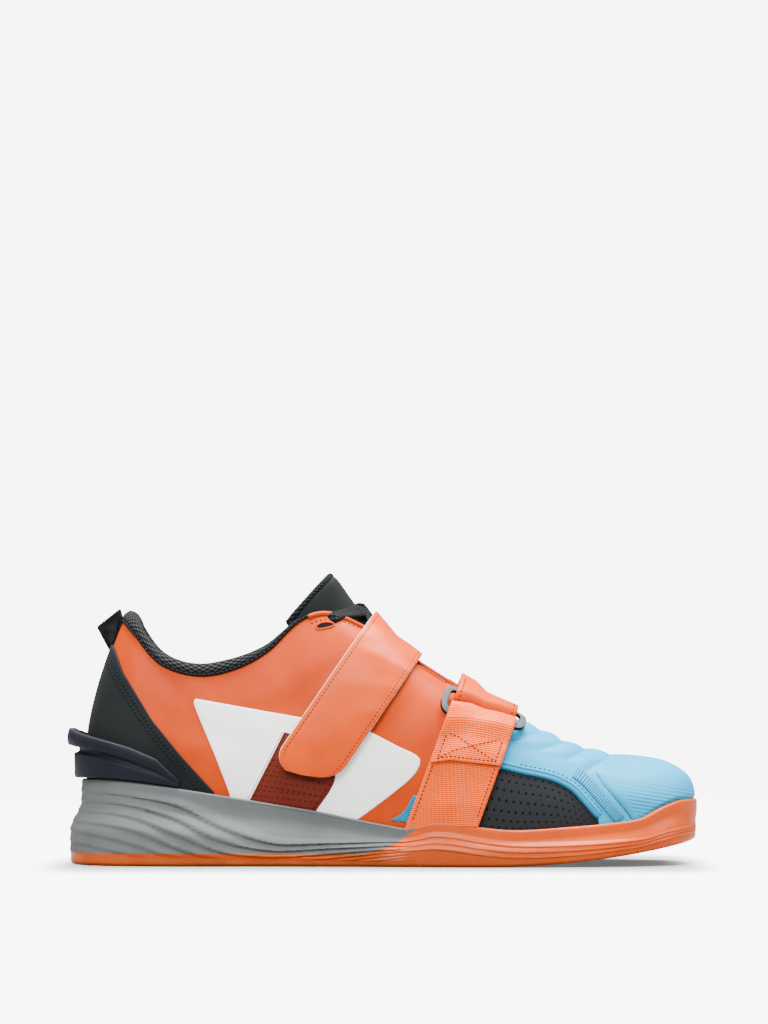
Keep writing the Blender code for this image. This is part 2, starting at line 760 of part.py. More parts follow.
def build_pull_tab(group, finish):
    """Folded tape that stands out of the heel seam."""
    inner = []
    for z in (1.010, COUNTER_EDGE[0].z + 0.006, COUNTER_EDGE[0].z + 0.014, 1.110, 1.140):
        clear = GAP if z > COUNTER_EDGE[0].z + 0.01 else OVERLAY + 3 * GAP
        inner.append((skin(0.0, level_at(0.0, z * INSTEP_RISE))[0] - clear, z * INSTEP_RISE))
    out = (PULL_TAB_DEPTH * math.cos(PULL_TAB_TILT), PULL_TAB_DEPTH * math.sin(PULL_TAB_TILT))
    top = (inner[-1][0] - 0.0020, inner[-1][1] + 0.0045)
    edge = (top[0] - out[0], top[1] - out[1])
    outline = inner + [top, edge]
    thick = PULL_TAB_THICKNESS / 2
    return object_from("pull_tab", prism(outline, -thick, thick), group, finish, False)


class Wrap:
    """A taut band's path over the shoe: lines side by side, each a convex hull."""

    def __init__(self, origin, lean, across, trees, half_width, lines, foot, reach):
        self.out = Vector(lean).normalized()
        self.cross = Vector(across).normalized()
        self.side = self.cross.cross(self.out).normalized()
        self.origin = Vector(origin)
        self.offsets = [half_width * (2 * j / (lines - 1) - 1) for j in range(lines)]
        self.paths = []
        for offset in self.offsets:
            spacing = half_width / (lines - 1)
            centre = self.origin + self.side * offset
            spread = [centre + self.side * spacing * t / 3 for t in range(-3, 4)]
            points = []
            for step in range(-int(reach / RAY_STEP), int(reach / RAY_STEP) + 1):
                angle = math.radians(RAY_STEP * step)
                direction = self.out * math.cos(angle) + self.cross * math.sin(angle)
                radius = self.farthest(spread, direction, trees)
                spot = centre + direction * radius
                if radius > 0.0 and spot.z > foot(spot):
                    points.append((radius * math.sin(angle), radius * math.cos(angle)))
            self.paths.append(self.even(self.hull(points)))

    @staticmethod
    def farthest(centres, direction, trees):
        radius = 0.0
        for centre in centres:
            start = centre + direction * 0.2
            for tree in trees:
                hit = tree.ray_cast(start, -direction, 0.2)
                if hit[0] is not None:
                    radius = max(radius, 0.2 - hit[3])
        return radius

    @staticmethod
    def hull(points):
        """Hull from the first foot over the top to the last foot."""
        first, last = points[0], points[-1]
        chain = [first]
        for point in points[1:]:
            while len(chain) > 1:
                (ax, ay), (bx, by) = chain[-2], chain[-1]
                if (bx - ax) * (point[1] - ay) - (by - ay) * (point[0] - ax) >= 0:
                    chain.pop()
                else:
                    break
            chain.append(point)
        assert chain[-1] == last
        return chain

    @staticmethod
    def even(chain, count=141):
        """The hull's points at even steps of arc length."""
        lengths = [0.0]
        for a, b in zip(chain, chain[1:]):
            lengths.append(lengths[-1] + math.dist(a, b))
        wanted = [lengths[-1] * i / (count - 1) for i in range(count)]
        return [(float(np.interp(w, lengths, [p[0] for p in chain])),
                 float(np.interp(w, lengths, [p[1] for p in chain]))) for w in wanted], lengths[-1]

    @staticmethod
    def reading(path, u):
        """Point at a share u of one line's path."""
        place = min(max(u, 0.0), 1.0) * (len(path) - 1)
        i = min(int(place), len(path) - 2)
        return Vector(path[i]).lerp(Vector(path[i + 1]), place - i)

    def at(self, side, u, height):
        """Point at a side offset, a share u of the path and a height above it."""
        side_share = float(np.interp(side, self.offsets, range(len(self.offsets))))
        j = min(int(side_share), len(self.offsets) - 2)
        blend = side_share - j
        spot, slope = Vector((0, 0)), Vector((0, 0))
        for path, weight in ((self.paths[j][0], 1 - blend), (self.paths[j + 1][0], blend)):
            spot += weight * self.reading(path, u)
            slope += weight * (self.reading(path, u + 0.04) - self.reading(path, u - 0.04))
        normal = Vector((-slope.y, slope.x)).normalized()
        spot += normal * height
        return (self.origin + self.side * side + self.cross * spot.x + self.out * spot.y)

    def share_at_height(self, z, lateral=True):
        """Share of the path at which the middle of the band is at height z."""
        shares = [i / 200 for i in range(101)]
        if not lateral:
            shares = [1 - s for s in shares]
        return min(shares, key=lambda u: abs(self.at(0.0, u, 0.0).z - z))

    def length(self):
        return self.paths[len(self.paths) // 2][1]


def strap_foot(clearance):
    """Height below which a strap has gone behind the sole's rim."""
    return lambda spot: rim_height(spot.x / LENGTH + 0.5) + clearance


def band(wrap, path, widths, thickness, inner=None):
    """Closed band along a path of (share, height) pairs with a half width at each;
    inner is where the band has a second pair of edges, off its middle."""
    length = wrap.length()
    flat = [Vector((u * length, h)) for u, h in path]
    sections = []
    for i, (point, half) in enumerate(zip(flat, widths)):
        along = flat[min(i + 1, len(flat) - 1)] - flat[max(i - 1, 0)]
        normal = Vector((-along.y, along.x)).normalized() * thickness / 2
        sides = [-half, half]
        if inner:
            sides = [-half, -min(inner, half * 0.5), min(inner, half * 0.5), half]
        low = [wrap.at(s, (point - normal).x / length, (point - normal).y) for s in sides]
        high = [wrap.at(s, (point + normal).x / length, (point + normal).y) for s in sides]
        sections.append(low + high[::-1])
    return tube_loft(sections)


def rounded_end(distance, half, radius):
    """Half width of a band near its rounded end."""
    if distance >= radius:
        return half
    return half - radius + math.sqrt(max(0.0, radius ** 2 - (radius - distance) ** 2))


def build_instep_strap(group, finish, below):
    trees = [tree_of(item) for item in below]
    lean = (math.sin(INSTEP_STRAP_LEAN), 0.0, math.cos(INSTEP_STRAP_LEAN))
    top = Vector((place_x(INSTEP_STRAP_X), 0.0, INSTEP_STRAP_Z * INSTEP_RISE))
    origin = top - Vector(lean) * INSTEP_RISE * 0.62
    foot = strap_foot(STRAP_FOOT)
    wrap = Wrap(origin, lean, (0, 1, 0), trees, INSTEP_STRAP_WIDTH / 2, 5, foot, 136)
    end = wrap.share_at_height(INSTEP_STRAP_END * INSTEP_RISE)
    length = wrap.length()
    radius = INSTEP_STRAP_WIDTH * 0.28
    steps = [0.02, 0.15, 0.4, 0.7, 1.0]
    shares = [end + radius * t / length for t in steps]
    count = 22
    shares += [shares[-1] + (1.0 - shares[-1]) * (j + 1) / count for j in range(count)]
    widths = [rounded_end((u - end) * length, INSTEP_STRAP_WIDTH / 2, radius) for u in shares]
    height = STRAP_SEAT + STRAP_THICKNESS / 2
    path = [(u, height) for u in shares]
    made = band(wrap, path, widths, STRAP_THICKNESS, INSTEP_STRAP_WIDTH / 6)
    return object_from("instep_strap", made, group, finish)


def fold_round(bar, outward, low, rise):
    """Half turn of a band round a bar: (distance, height) pairs."""
    radius = rise / 2
    turn = []
    for j in range(7):
        angle = math.pi * (j / 6 - 0.5)
        turn.append((bar + outward * radius * math.cos(angle), low + radius + radius * math.sin(angle)))
    return turn


def build_fore_strap(group, leather, nylon, steel, below):
    """Webbing from the rim, the ring, and the strap that is folded back over it."""
    trees = [tree_of(item) for item in below]
    lean = (math.sin(FORE_STRAP_LEAN), 0.0, math.cos(FORE_STRAP_LEAN))
    top = Vector((place_x(FORE_STRAP_X), 0.0, FORE_STRAP_Z * INSTEP_RISE))
    origin = top - Vector(lean) * INSTEP_RISE * 0.55
    half = RING_LENGTH / 2 + 0.001
    wrap = Wrap(origin, lean, (0, 1, 0), trees, half, 7, strap_foot(STRAP_FOOT), 124)
    line = half / 3
    length = wrap.length()
    ring = wrap.share_at_height(RING_HEIGHT * INSTEP_RISE) * length
    seat = STRAP_SEAT
    bar_gap = (RING_WIDTH - RING_BAR) / 2
    bar_low = seat + STRAP_THICKNESS + GAP

    rise = STRAP_THICKNESS + RING_THICKNESS + 2 * GAP
    inner = seat + STRAP_THICKNESS / 2
    outer = seat + STRAP_THICKNESS * 1.5 + GAP
    bar = ring + bar_gap
    path = [(length * (1 - j / 12) + (bar + 0.006) * j / 12, inner) for j in range(12)]
    path += [(bar + 0.003, inner)]
    path += fold_round(bar - RING_BAR / 2, -1.0, inner, rise)
    path += [(bar + 0.004, inner + rise), (bar + 0.009, outer + 0.001)]
    path += [(bar + 0.014 + (FREE_END - 0.014) * j / 4, outer) for j in range(5)]
    shares = [(u / length, h) for u, h in path]
    widths = [FORE_STRAP_WIDTH / 2] * len(shares)
    made = band(wrap, shares, widths, STRAP_THICKNESS, line)
    strap = object_from("forefoot_strap", made, group, leather)

    low = seat + WEBBING_THICKNESS / 2
    rise = STRAP_THICKNESS + RING_THICKNESS + 3 * GAP
    bar = ring - bar_gap
    path = [((bar - 0.004) * j / 8, low) for j in range(9)]
    path += fold_round(bar + RING_BAR / 2, 1.0, low, rise)
    path += [(bar - RING_BAR / 2, low + rise)]
    over = low + WEBBING_THICKNESS + GAP
    path += [(bar - 0.004, low + rise), (bar - 0.008, over + 0.001)]
    path += [(bar - 0.011 - (WEBBING_TURN - 0.011) * j / 2, over) for j in range(3)]
    shares = [(u / length, h) for u, h in path]
    widths = [WEBBING_WIDTH / 2] * len(shares)
    made = band(wrap, shares, widths, WEBBING_THICKNESS, line)
    webbing = object_from("forefoot_webbing", made, group, nylon)
    return strap, webbing, build_ring(wrap, ring / length, bar_low, line, group, steel)


def build_ring(wrap, middle, low, line, group, finish):
    """Flat rectangular ring with round corners."""
    length = wrap.length()
    corner = RING_WIDTH * 0.36
    bm = bmesh.new()
    loops = []
    for inset, heights in ((0.0, (low, low + RING_THICKNESS)),
                           (RING_BAR, (low + RING_THICKNESS, low))):
        for height in heights:
            loop = []
            half_a, half_b = RING_LENGTH / 2 - corner, RING_WIDTH / 2 - corner
            reach = corner - inset
            for quarter, (sx, sy) in enumerate(((1, 1), (-1, 1), (-1, -1), (1, -1))):
                spots_round = []
                for j in range(5):
                    angle = math.radians(90 * quarter + 90 * j / 4)
                    spots_round.append((sx * half_a + reach * math.cos(angle),
                                        sy * half_b + reach * math.sin(angle)))
                if sx == sy:
                    spots_round += [(sx * line, sy * (half_b + reach)),
                                    (-sx * line, sy * (half_b + reach))]
                loop += [wrap.at(x, middle + y / length, height) for x, y in spots_round]
            loops.append(loop)
    verts = grid(bm, loops, closed=True)
    first, last = verts[0], verts[-1]
    for j in range(len(first)):
        n = (j + 1) % len(first)
        bm.faces.new((last[j], last[n], first[n], first[j]))
    bmesh.ops.recalc_face_normals(bm, faces=bm.faces)
    return object_from("ring_buckle", bm, group, finish)


def build_lace(group, cutters, finish, below):
    """Crossed flat lace, each crossing from one pair of eyelets to the next."""
    trees = [tree_of(item) for item in below]
    made = []
    for number, (first, second) in enumerate(zip(EYELETS, EYELETS[1:]), 1):
        bands = []
        for start, end in ((first + 0.12, second - 0.12), (second - 0.12, first + 0.12)):
            a = Vector(skin(start, EYELET_LEVEL))
            b = Vector(skin(2 * ROWS - end, EYELET_LEVEL))
            cross = (b - a).normalized()
            lift = Vector((math.sin(math.radians(35)), 0.0, math.cos(math.radians(35))))
            out = (lift - cross * lift.dot(cross)).normalized()
            depth = (b - a).length / 2
            middle = (a + b) / 2 - out * depth
            wrap = Wrap(middle, out, cross, trees, LACE_WIDTH / 2, 3, lambda spot: 0.0, 46)
            count = 11
            path = [(0.06 + 0.88 * j / (count - 1), 2 * GAP + LACE_THICKNESS / 2) for j in range(count)]
            widths = [LACE_WIDTH / 2] * count
            bands.append(band(wrap, path, widths, LACE_THICKNESS))
        crossing = object_from(f"lace_crossing_{number}", bands[0], group, finish)
        other = cutter_from(f"lace_other_{number}", bands[1], cutters)
        add_boolean(crossing, other, "UNION")
        made.append(crossing)
    return made


def main():
    for item in list(bpy.data.objects):
        bpy.data.objects.remove(item, do_unlink=True)
    shoe = collection("weightlifting_shoe")
    cutters = collection("cutters")
    orange = material("orange_leather", (0.83, 0.18, 0.03), 0.45)
    gum = material("gum_rubber", (0.60, 0.18, 0.06), 0.40)
    foam = material("grey_foam", (0.30, 0.33, 0.33), 0.60)
    knit = material("black_knit", (0.02, 0.02, 0.025), 0.90)
    slate = material("slate_leather", (0.03, 0.04, 0.045), 0.70)
    brick = material("brick_leather", (0.38, 0.06, 0.02), 0.55)
    blue = material("blue_synthetic", (0.37, 0.65, 0.80), 0.50)
    mesh = material("perforated_black", (0.03, 0.03, 0.035), 0.60)
    nylon = material("orange_nylon", (0.80, 0.12, 0.01), 0.40)
    plastic = material("slate_plastic", (0.05, 0.05, 0.065), 0.45)
    steel = material("grey_ring", (0.26, 0.26, 0.26), 0.45)
    upper = build_upper(shoe, orange)
    build_sole(shoe, cutters, gum, foam)
    build_insole(shoe, knit)
    collar = build_collar(shoe, knit)
    tongue = build_tongue(shoe, slate, [upper, collar])
    overlays = build_overlays(shoe, cutters, slate, brick, blue, mesh)
    build_clip(shoe, plastic)
    build_pull_tab(shoe, knit)
    laces = build_lace(shoe, cutters, knit, [upper, tongue])
    below = [upper, collar, tongue] + overlays + laces
    build_instep_strap(shoe, orange, below)
    build_fore_strap(shoe, orange, nylon, steel, below)


main()
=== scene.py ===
"""Weightlifting shoe: panels, straps, laces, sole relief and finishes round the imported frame.

Metres, +Z up, toe along +X, lateral side along -Y, on the frame's own axes.
"""
import math
from collections import namedtuple

import bpy
import numpy as np
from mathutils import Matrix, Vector
from mathutils.bvhtree import BVHTree


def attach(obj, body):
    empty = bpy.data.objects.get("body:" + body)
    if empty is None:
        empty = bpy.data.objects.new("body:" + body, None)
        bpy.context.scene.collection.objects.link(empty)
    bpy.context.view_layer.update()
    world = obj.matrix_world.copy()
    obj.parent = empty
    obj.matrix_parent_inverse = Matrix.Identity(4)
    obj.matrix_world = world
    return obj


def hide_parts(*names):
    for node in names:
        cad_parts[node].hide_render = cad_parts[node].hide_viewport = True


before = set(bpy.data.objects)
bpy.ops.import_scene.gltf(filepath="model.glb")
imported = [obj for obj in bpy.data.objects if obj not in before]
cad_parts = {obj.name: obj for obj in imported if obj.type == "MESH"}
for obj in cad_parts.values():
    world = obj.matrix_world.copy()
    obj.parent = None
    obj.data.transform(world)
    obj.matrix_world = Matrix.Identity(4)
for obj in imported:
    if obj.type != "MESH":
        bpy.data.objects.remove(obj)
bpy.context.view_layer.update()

bl_info = {
    "name": "Weightlifting shoe",
    "version": (1, 0, 0),
    "blender": (4, 5, 0),
    "location": "3D View > Sidebar > Shoe",
    "description": "Dresses a packed weightlifting shoe with panels, straps, laces and finishes",
    "category": "Object",
}

# Sizes of the last and the sole
LENGTH = 0.300
BALL_WIDTH = 0.098
HEEL_WIDTH = 0.068
INSTEP_RISE = 0.100
TOE_SWING = 0.006
HEEL_STACK = 0.031
FORE_STACK = 0.010
TOE_SPRING = 0.012
TOE_SPRING_START = 0.64
CUP_DEPTH = 0.010
RIM_WIDTH = 0.0032
SOLE_FLARE = 0.0075
GUM_THICKNESS = 0.006
UPPER_WALL = 0.0022
GAP = 0.0003
INSOLE_THICKNESS = 0.004
OVERLAY = 0.0012
COLLAR_PAD = 0.0085
COLLAR_RISE = 0.0065
TONGUE_THICKNESS = 0.005
INSTEP_STRAP_WIDTH = 0.030
FORE_STRAP_WIDTH = 0.030
WEBBING_WIDTH = 0.0315
STRAP_THICKNESS = 0.0020
STRAP_SEAT = 0.00105
STRAP_FOOT = 0.0024
WEBBING_THICKNESS = 0.0018
LACE_WIDTH = 0.006
LACE_THICKNESS = 0.0014
CLIP_THICKNESS = 0.0043
CLIP_HEIGHT = 0.0235
PULL_TAB_DEPTH = 0.0145
PULL_TAB_TILT = math.radians(38)
PULL_TAB_THICKNESS = 0.0024

# Half widths are shares of the last's width at that station, lengths are shares of
# LENGTH, and heights above the footbed are shares of INSTEP_RISE.
Section = namedtuple("Section", "x lat med top_x top_y top_z belly rise shoulder drop")
UPPER_SECTIONS = (
    Section(0.040, 0.000, 0.000, 0.087, 0.000, 0.830, 0.085, 0.29, 0.64, 0.26),
    Section(0.050, 0.221, 0.221, 0.092, 0.147, 0.822, 0.080, 0.29, 0.64, 0.26),
    Section(0.087, 0.397, 0.397, 0.110, 0.265, 0.762, 0.065, 0.30, 0.62, 0.28),
    Section(0.150, 0.485, 0.485, 0.150, 0.353, 0.630, 0.045, 0.32, 0.60, 0.32),
    Section(0.217, 0.507, 0.493, 0.207, 0.400, 0.593, 0.035, 0.36, 0.60, 0.34),
    Section(0.293, 0.513, 0.458, 0.263, 0.395, 0.655, 0.030, 0.38, 0.60, 0.32),
    Section(0.367, 0.500, 0.411, 0.317, 0.345, 0.780, 0.028, 0.40, 0.64, 0.28),
    Section(0.433, 0.492, 0.387, 0.367, 0.285, 0.958, 0.028, 0.42, 0.68, 0.22),
    Section(0.497, 0.493, 0.381, 0.413, 0.230, 1.030, 0.028, 0.44, 0.70, 0.18),
    Section(0.557, 0.501, 0.391, 0.473, 0.190, 0.985, 0.026, 0.46, 0.70, 0.15),
    Section(0.617, 0.511, 0.414, 0.543, 0.158, 0.865, 0.024, 0.50, 0.70, 0.14),
    Section(0.677, 0.513, 0.445, 0.613, 0.123, 0.733, 0.022, 0.54, 0.68, 0.12),
    Section(0.737, 0.508, 0.480, 0.662, 0.045, 0.632, 0.020, 0.58, 0.64, 0.08),
    Section(0.793, 0.497, 0.490, 0.705, 0.000, 0.545, 0.018, 0.62, 0.60, 0.05),
    Section(0.847, 0.469, 0.469, 0.772, 0.000, 0.425, 0.020, 0.66, 0.62, 0.02),
    Section(0.897, 0.418, 0.408, 0.840, 0.000, 0.352, 0.030, 0.68, 0.70, 0.01),
    Section(0.943, 0.316, 0.306, 0.880, 0.000, 0.320, 0.048, 0.68, 0.80, 0.01),
    Section(0.968, 0.172, 0.168, 0.905, 0.000, 0.298, 0.062, 0.67, 0.89, 0.01),
    Section(0.977, 0.000, 0.000, 0.920, 0.000, 0.275, 0.070, 0.66, 0.94, 0.01),
)

# ramp: how much of the heel's lift is left; cup: depth of the rim as a share of
# CUP_DEPTH; joint: height of the gum-to-foam joint as a share of GUM_THICKNESS
SoleRow = namedtuple("SoleRow", "x ramp cup flare joint")
SOLE_ROWS = (
    SoleRow(0.000, 1.03, 0.84, 1.00, 1.00),
    SoleRow(0.083, 1.02, 0.86, 1.00, 1.00),
    SoleRow(0.167, 1.00, 0.57, 0.95, 1.00),
    SoleRow(0.250, 0.86, 0.47, 0.80, 1.00),
    SoleRow(0.333, 0.65, 0.51, 0.65, 1.00),
    SoleRow(0.400, 0.48, 0.53, 0.58, 1.00),
    SoleRow(0.467, 0.30, 0.51, 0.52, 1.03),
    SoleRow(0.510, 0.20, 0.48, 0.48, 1.63),
    SoleRow(0.533, 0.14, 0.49, 0.45, 2.35),
    SoleRow(0.555, 0.09, 0.67, 0.42, 3.08),
    SoleRow(0.575, 0.05, 0.93, 0.40, 3.70),
    SoleRow(0.603, 0.02, 1.00, 0.38, 4.40),
    SoleRow(0.645, 0.00, 0.86, 0.38, 5.00),
    SoleRow(0.700, -0.01, 0.70, 0.38, 5.00),
    SoleRow(0.783, -0.02, 0.70, 0.38, 5.00),
    SoleRow(0.850, -0.02, 0.66, 0.36, 5.00),
    SoleRow(0.893, -0.03, 0.70, 0.34, 5.00),
    SoleRow(0.923, -0.04, 1.05, 0.32, 5.00),
    SoleRow(0.953, -0.05, 1.24, 0.30, 5.00),
    SoleRow(1.000, -0.07, 1.02, 0.26, 5.00),
)

# Heights of the foam's flowing grooves, as shares of the wall's height, against
# the share of LENGTH; below zero a groove has run out under the foam
FoamRow = namedtuple("FoamRow", "x a b c d e f g h")
FOAM_LINES = (
    FoamRow(0.00, 0.93, 0.84, 0.74, 0.63, 0.52, 0.41, 0.30, 0.20),
    FoamRow(0.05, 0.92, 0.83, 0.72, 0.61, 0.49, 0.37, 0.24, 0.12),
    FoamRow(0.12, 0.90, 0.81, 0.69, 0.56, 0.41, 0.24, 0.10, -0.02),
    FoamRow(0.18, 0.88, 0.76, 0.58, 0.39, 0.22, 0.08, -0.04, -0.14),
    FoamRow(0.25, 0.75, 0.52, 0.33, 0.18, 0.06, -0.05, -0.15, -0.24),
    FoamRow(0.33, 0.50, 0.35, 0.24, 0.14, 0.04, -0.06, -0.15, -0.24),
    FoamRow(0.41, 0.52, 0.42, 0.32, 0.22, 0.13, 0.05, -0.03, -0.11),
    FoamRow(0.50, 0.66, 0.57, 0.48, 0.39, 0.31, 0.23, 0.15, 0.08),
    FoamRow(0.60, 0.86, 0.78, 0.70, 0.62, 0.54, 0.46, 0.38, 0.30),
)
# The gum's long grooves, as shares of the forefoot wall's height
GumRow = namedtuple("GumRow", "x a b c d")
GUM_LINES = (
    GumRow(0.45, 0.62, 0.55, 0.48, 0.41),
    GumRow(0.58, 0.80, 0.66, 0.52, 0.38),
    GumRow(0.70, 0.70, 0.53, 0.37, 0.22),
    GumRow(0.82, 0.56, 0.43, 0.30, 0.18),
    GumRow(0.92, 0.44, 0.36, 0.28, 0.20),
    GumRow(1.00, 0.38, 0.33, 0.28, 0.23),
)

# z: height above the floor as a share of INSTEP_RISE; half: half width as a share of
# BALL_WIDTH; drop: how far its sides hang, against half
TongueRow = namedtuple("TongueRow", "x z half drop")
TONGUE_ROWS = (
    TongueRow(0.422, 1.375, 0.142, 1.80),
    TongueRow(0.438, 1.300, 0.142, 2.00),
    TongueRow(0.470, 1.172, 0.148, 1.80),
    TongueRow(0.515, 1.040, 0.200, 1.05),
    TongueRow(0.565, 0.912, 0.220, 0.75),
    TongueRow(0.620, 0.780, 0.215, 0.60),
    TongueRow(0.665, 0.668, 0.180, 0.45),
    TongueRow(0.697, 0.590, 0.140, 0.35),
)

# Outlines seen from the side: lengths as shares of LENGTH, heights above the
# floor as shares of INSTEP_RISE
Spot = namedtuple("Spot", "x z")
COUNTER_EDGE = (
    Spot(0.070, 1.050),
    Spot(0.078, 1.010),
    Spot(0.092, 0.905),
    Spot(0.138, 0.683),
    Spot(0.184, 0.515),
    Spot(0.236, 0.345),
)
PANEL_EDGE = (
    Spot(0.612, 0.520),
    Spot(0.673, 0.462),
    Spot(0.710, 0.433),
    Spot(0.757, 0.400),
    Spot(0.788, 0.354),
    Spot(0.807, 0.297),
    Spot(0.831, 0.215),
)
TOE_CAP_EDGE = (
    Spot(0.886, 0.205),
    Spot(0.872, 0.262),
    Spot(0.854, 0.320),
    Spot(0.838, 0.372),
    Spot(0.829, 0.420),
)

INSTEP_STRAP_X = 0.527
INSTEP_STRAP_Z = 1.109
INSTEP_STRAP_LEAN = math.radians(34.2)
INSTEP_STRAP_END = 0.425
FORE_STRAP_X = 0.673
FORE_STRAP_Z = 0.870
FORE_STRAP_LEAN = math.radians(20.2)
RING_HEIGHT = 0.690
RING_LENGTH = 0.041
RING_WIDTH = 0.0145
RING_BAR = 0.0032
RING_THICKNESS = 0.0020
FREE_END = 0.040
WEBBING_TURN = 0.022
# Row numbers of the slot eyelets round the last, and their level on the wall
EYELETS = (7.62, 9.2, 10.3, 11.2)
EYELET_LEVEL = 0.93
COUNTER_FOOT = 0.030
COUNTER_TOP = 0.1052

# How far a cut edge is sunk in the skin, a thread lies above it, a strap's stitches lie
# inside its edge, and a hidden end of lace dips; then the laces under the straps
EDGE_SINK = 0.0004
THREAD_LIFT = 0.0001
STITCH_INSET = 0.0022
LACE_DIP = 0.0026
LACE_SETTLE = 0.0014

# Roundings of the sole's lower edge and of its rim, and the depth of its ribs
SOLE_EDGE = 0.0018
RIM_EDGE = 0.0009
FOAM_RIBS = 0.0021
GUM_RIBS = 0.0009
TONGUE_ARCH = math.radians(80.0)
TONGUE_STATIONS = 60
TONGUE_COLUMNS = 33
# The rounding of the tongue's top corners, in stations, and how many stations it fades over
TONGUE_CORNER = 3.4
TONGUE_FADE = 22.0
# Heights of the pull tab's root as shares of INSTEP_RISE: above the step it is sewn in
TAB_ROOT = (1.002, 1.030, 1.045, 1.056, 1.066, 1.085, 1.110, 1.140)
TAB_STEP = 1.035
TAB_SUNK = -0.0009

# Row step round the last in the upper and the sole, and what counts as one place
ROW_STEP = 0.125
MERGE_DISTANCE = 2e-6
SAME_PLACE = 1e-7
# Degrees from ray to ray round a taut band's path, and how far out the rays start
SWEEP = 1.25
RAY = 0.2

# Camera and the painted shadow: a soft dark line on the paper round the sole
CAMERA_PLACE = (0.0, -1.8255, 0.07)
CAMERA_LENS = 135
CAMERA_SHIFT = 0.199
SHADOW_HALF_LENGTH = 0.132
SHADOW_HALF_WIDTH = 0.040
SHADOW_REACH = 0.032
SHADOW_DEPTH = 0.72

# k: row number from the heel; body, web and ring: offsets as shares of CLIP_THICKNESS;
# body_top, ring_low and ring_top: heights above the rim as shares of CLIP_HEIGHT
ClipRow = namedtuple("ClipRow", "k body web ring_in ring_out body_top ring_low ring_top")
CLIP_ROWS = (
    ClipRow(0.0, 1.10, 0.50, 1.05, 2.00, 0.50, 0.66, 1.00),
    ClipRow(0.6, 1.10, 0.50, 0.95, 1.90, 0.49, 0.65, 0.95),
    ClipRow(1.2, 1.05, 0.48, 0.70, 1.60, 0.45, 0.60, 0.86),
    ClipRow(1.8, 0.95, 0.45, 0.30, 1.20, 0.38, 0.52, 0.76),
    ClipRow(2.4, 0.75, 0.42, 0.02, 0.85, 0.28, 0.41, 0.66),
    ClipRow(3.0, 0.55, 0.40, 0.02, 0.62, 0.17, 0.27, 0.50),
    ClipRow(3.5, 0.36, 0.35, 0.02, 0.38, 0.05, 0.08, 0.14),
)

ROWS = len(UPPER_SECTIONS) - 1
LOOP = 2 * ROWS
SIDES = ((-1, "lateral"), (1, "medial"))
PathRow = namedtuple("PathRow", "x a b")


def smooth(t):
    """Eased step from 0 to 1."""
    t = np.clip(t, 0.0, 1.0)
    return t * t * (3.0 - 2.0 * t)


def catmull_rom(a, b, c, d, t):
    """Smooth reading from b at 0 to c at 1, with their neighbours a and d."""
    return 0.5 * (2 * b + (c - a) * t + (2 * a - 5 * b + 4 * c - d) * t * t
                  + (3 * b - a - 3 * c + d) * t ** 3)


def lengths_along(points):
    """Distance run along a line at each of its points."""
    return np.concatenate([[0.0], np.cumsum(np.linalg.norm(np.diff(points, axis=0), axis=1))])


def read_line(wanted, steps, points):
    """A line's places at the wanted steps, read straight between its points."""
    return np.stack([np.interp(wanted, steps, column) for column in points.T], axis=1)


def table(rows, column, x):
    """Cubic reading of one column of a table of rows against its x."""
    xs = np.array([row.x for row in rows])
    ys = np.array([getattr(row, column) for row in rows])
    x = np.clip(np.asarray(x, float), xs[0], xs[-1])
    i = np.clip(np.searchsorted(xs, x, side="right") - 1, 0, len(xs) - 2)
    places = np.arange(len(xs))
    before, after = np.maximum(places - 1, 0), np.minimum(places + 1, len(xs) - 1)
    slope = (ys[after] - ys[before]) / (xs[after] - xs[before])
    span = xs[i + 1] - xs[i]
    t = (x - xs[i]) / span
    return (ys[i] * (1 + 2 * t) * (1 - t) ** 2 + slope[i] * span * t * (1 - t) ** 2
            + ys[i + 1] * t * t * (3 - 2 * t) + slope[i + 1] * span * t * t * (t - 1))


def place_x(share):
    """Place along X of a share of the length."""
    return (share - 0.5) * LENGTH


def share_of(x):
    """Share of the length at a place along X."""
    return x / LENGTH + 0.5


def last_width(share):
    """Width of the last, from heel to ball."""
    return HEEL_WIDTH + (BALL_WIDTH - HEEL_WIDTH) * smooth((share - 0.25) / 0.45)


def centre_y(share):
    """Middle of the last, which swings at the toe."""
    return TOE_SWING * np.maximum(0.0, (share - 0.6) / 0.4) ** 2


def ground(share):
    """Height of the underside, with its toe spring."""
    t = np.maximum(0.0, (share - TOE_SPRING_START) / (1.0 - TOE_SPRING_START))
    return TOE_SPRING * t * t


def footbed(share):
    """Height of the face that the upper stands on."""
    lift = HEEL_STACK - FORE_STACK
    return ground(share) + FORE_STACK + lift * table(SOLE_ROWS, "ramp", share)


def rim_height(share):
    """Height of the sole's rim round the upper."""
    return footbed(share) + CUP_DEPTH * table(SOLE_ROWS, "cup", share)


def signed_rows():
    """Rows of the closed loop: heel, lateral side, toe, medial side."""
    for index in range(LOOP):
        row = index if index <= ROWS else LOOP - index
        side = 0 if index in (0, ROWS) else (-1 if index < ROWS else 1)
        yield UPPER_SECTIONS[row], side


def plan_normals(points):
    """Outward normals in plan of a closed loop that runs heel, lateral, toe, medial."""
    tangent = np.roll(points, -1, axis=0) - np.roll(points, 1, axis=0)
    normal = np.stack([tangent[:, 1], -tangent[:, 0], np.zeros(len(points))], axis=1)
    return normal / np.linalg.norm(normal, axis=1)[:, None]


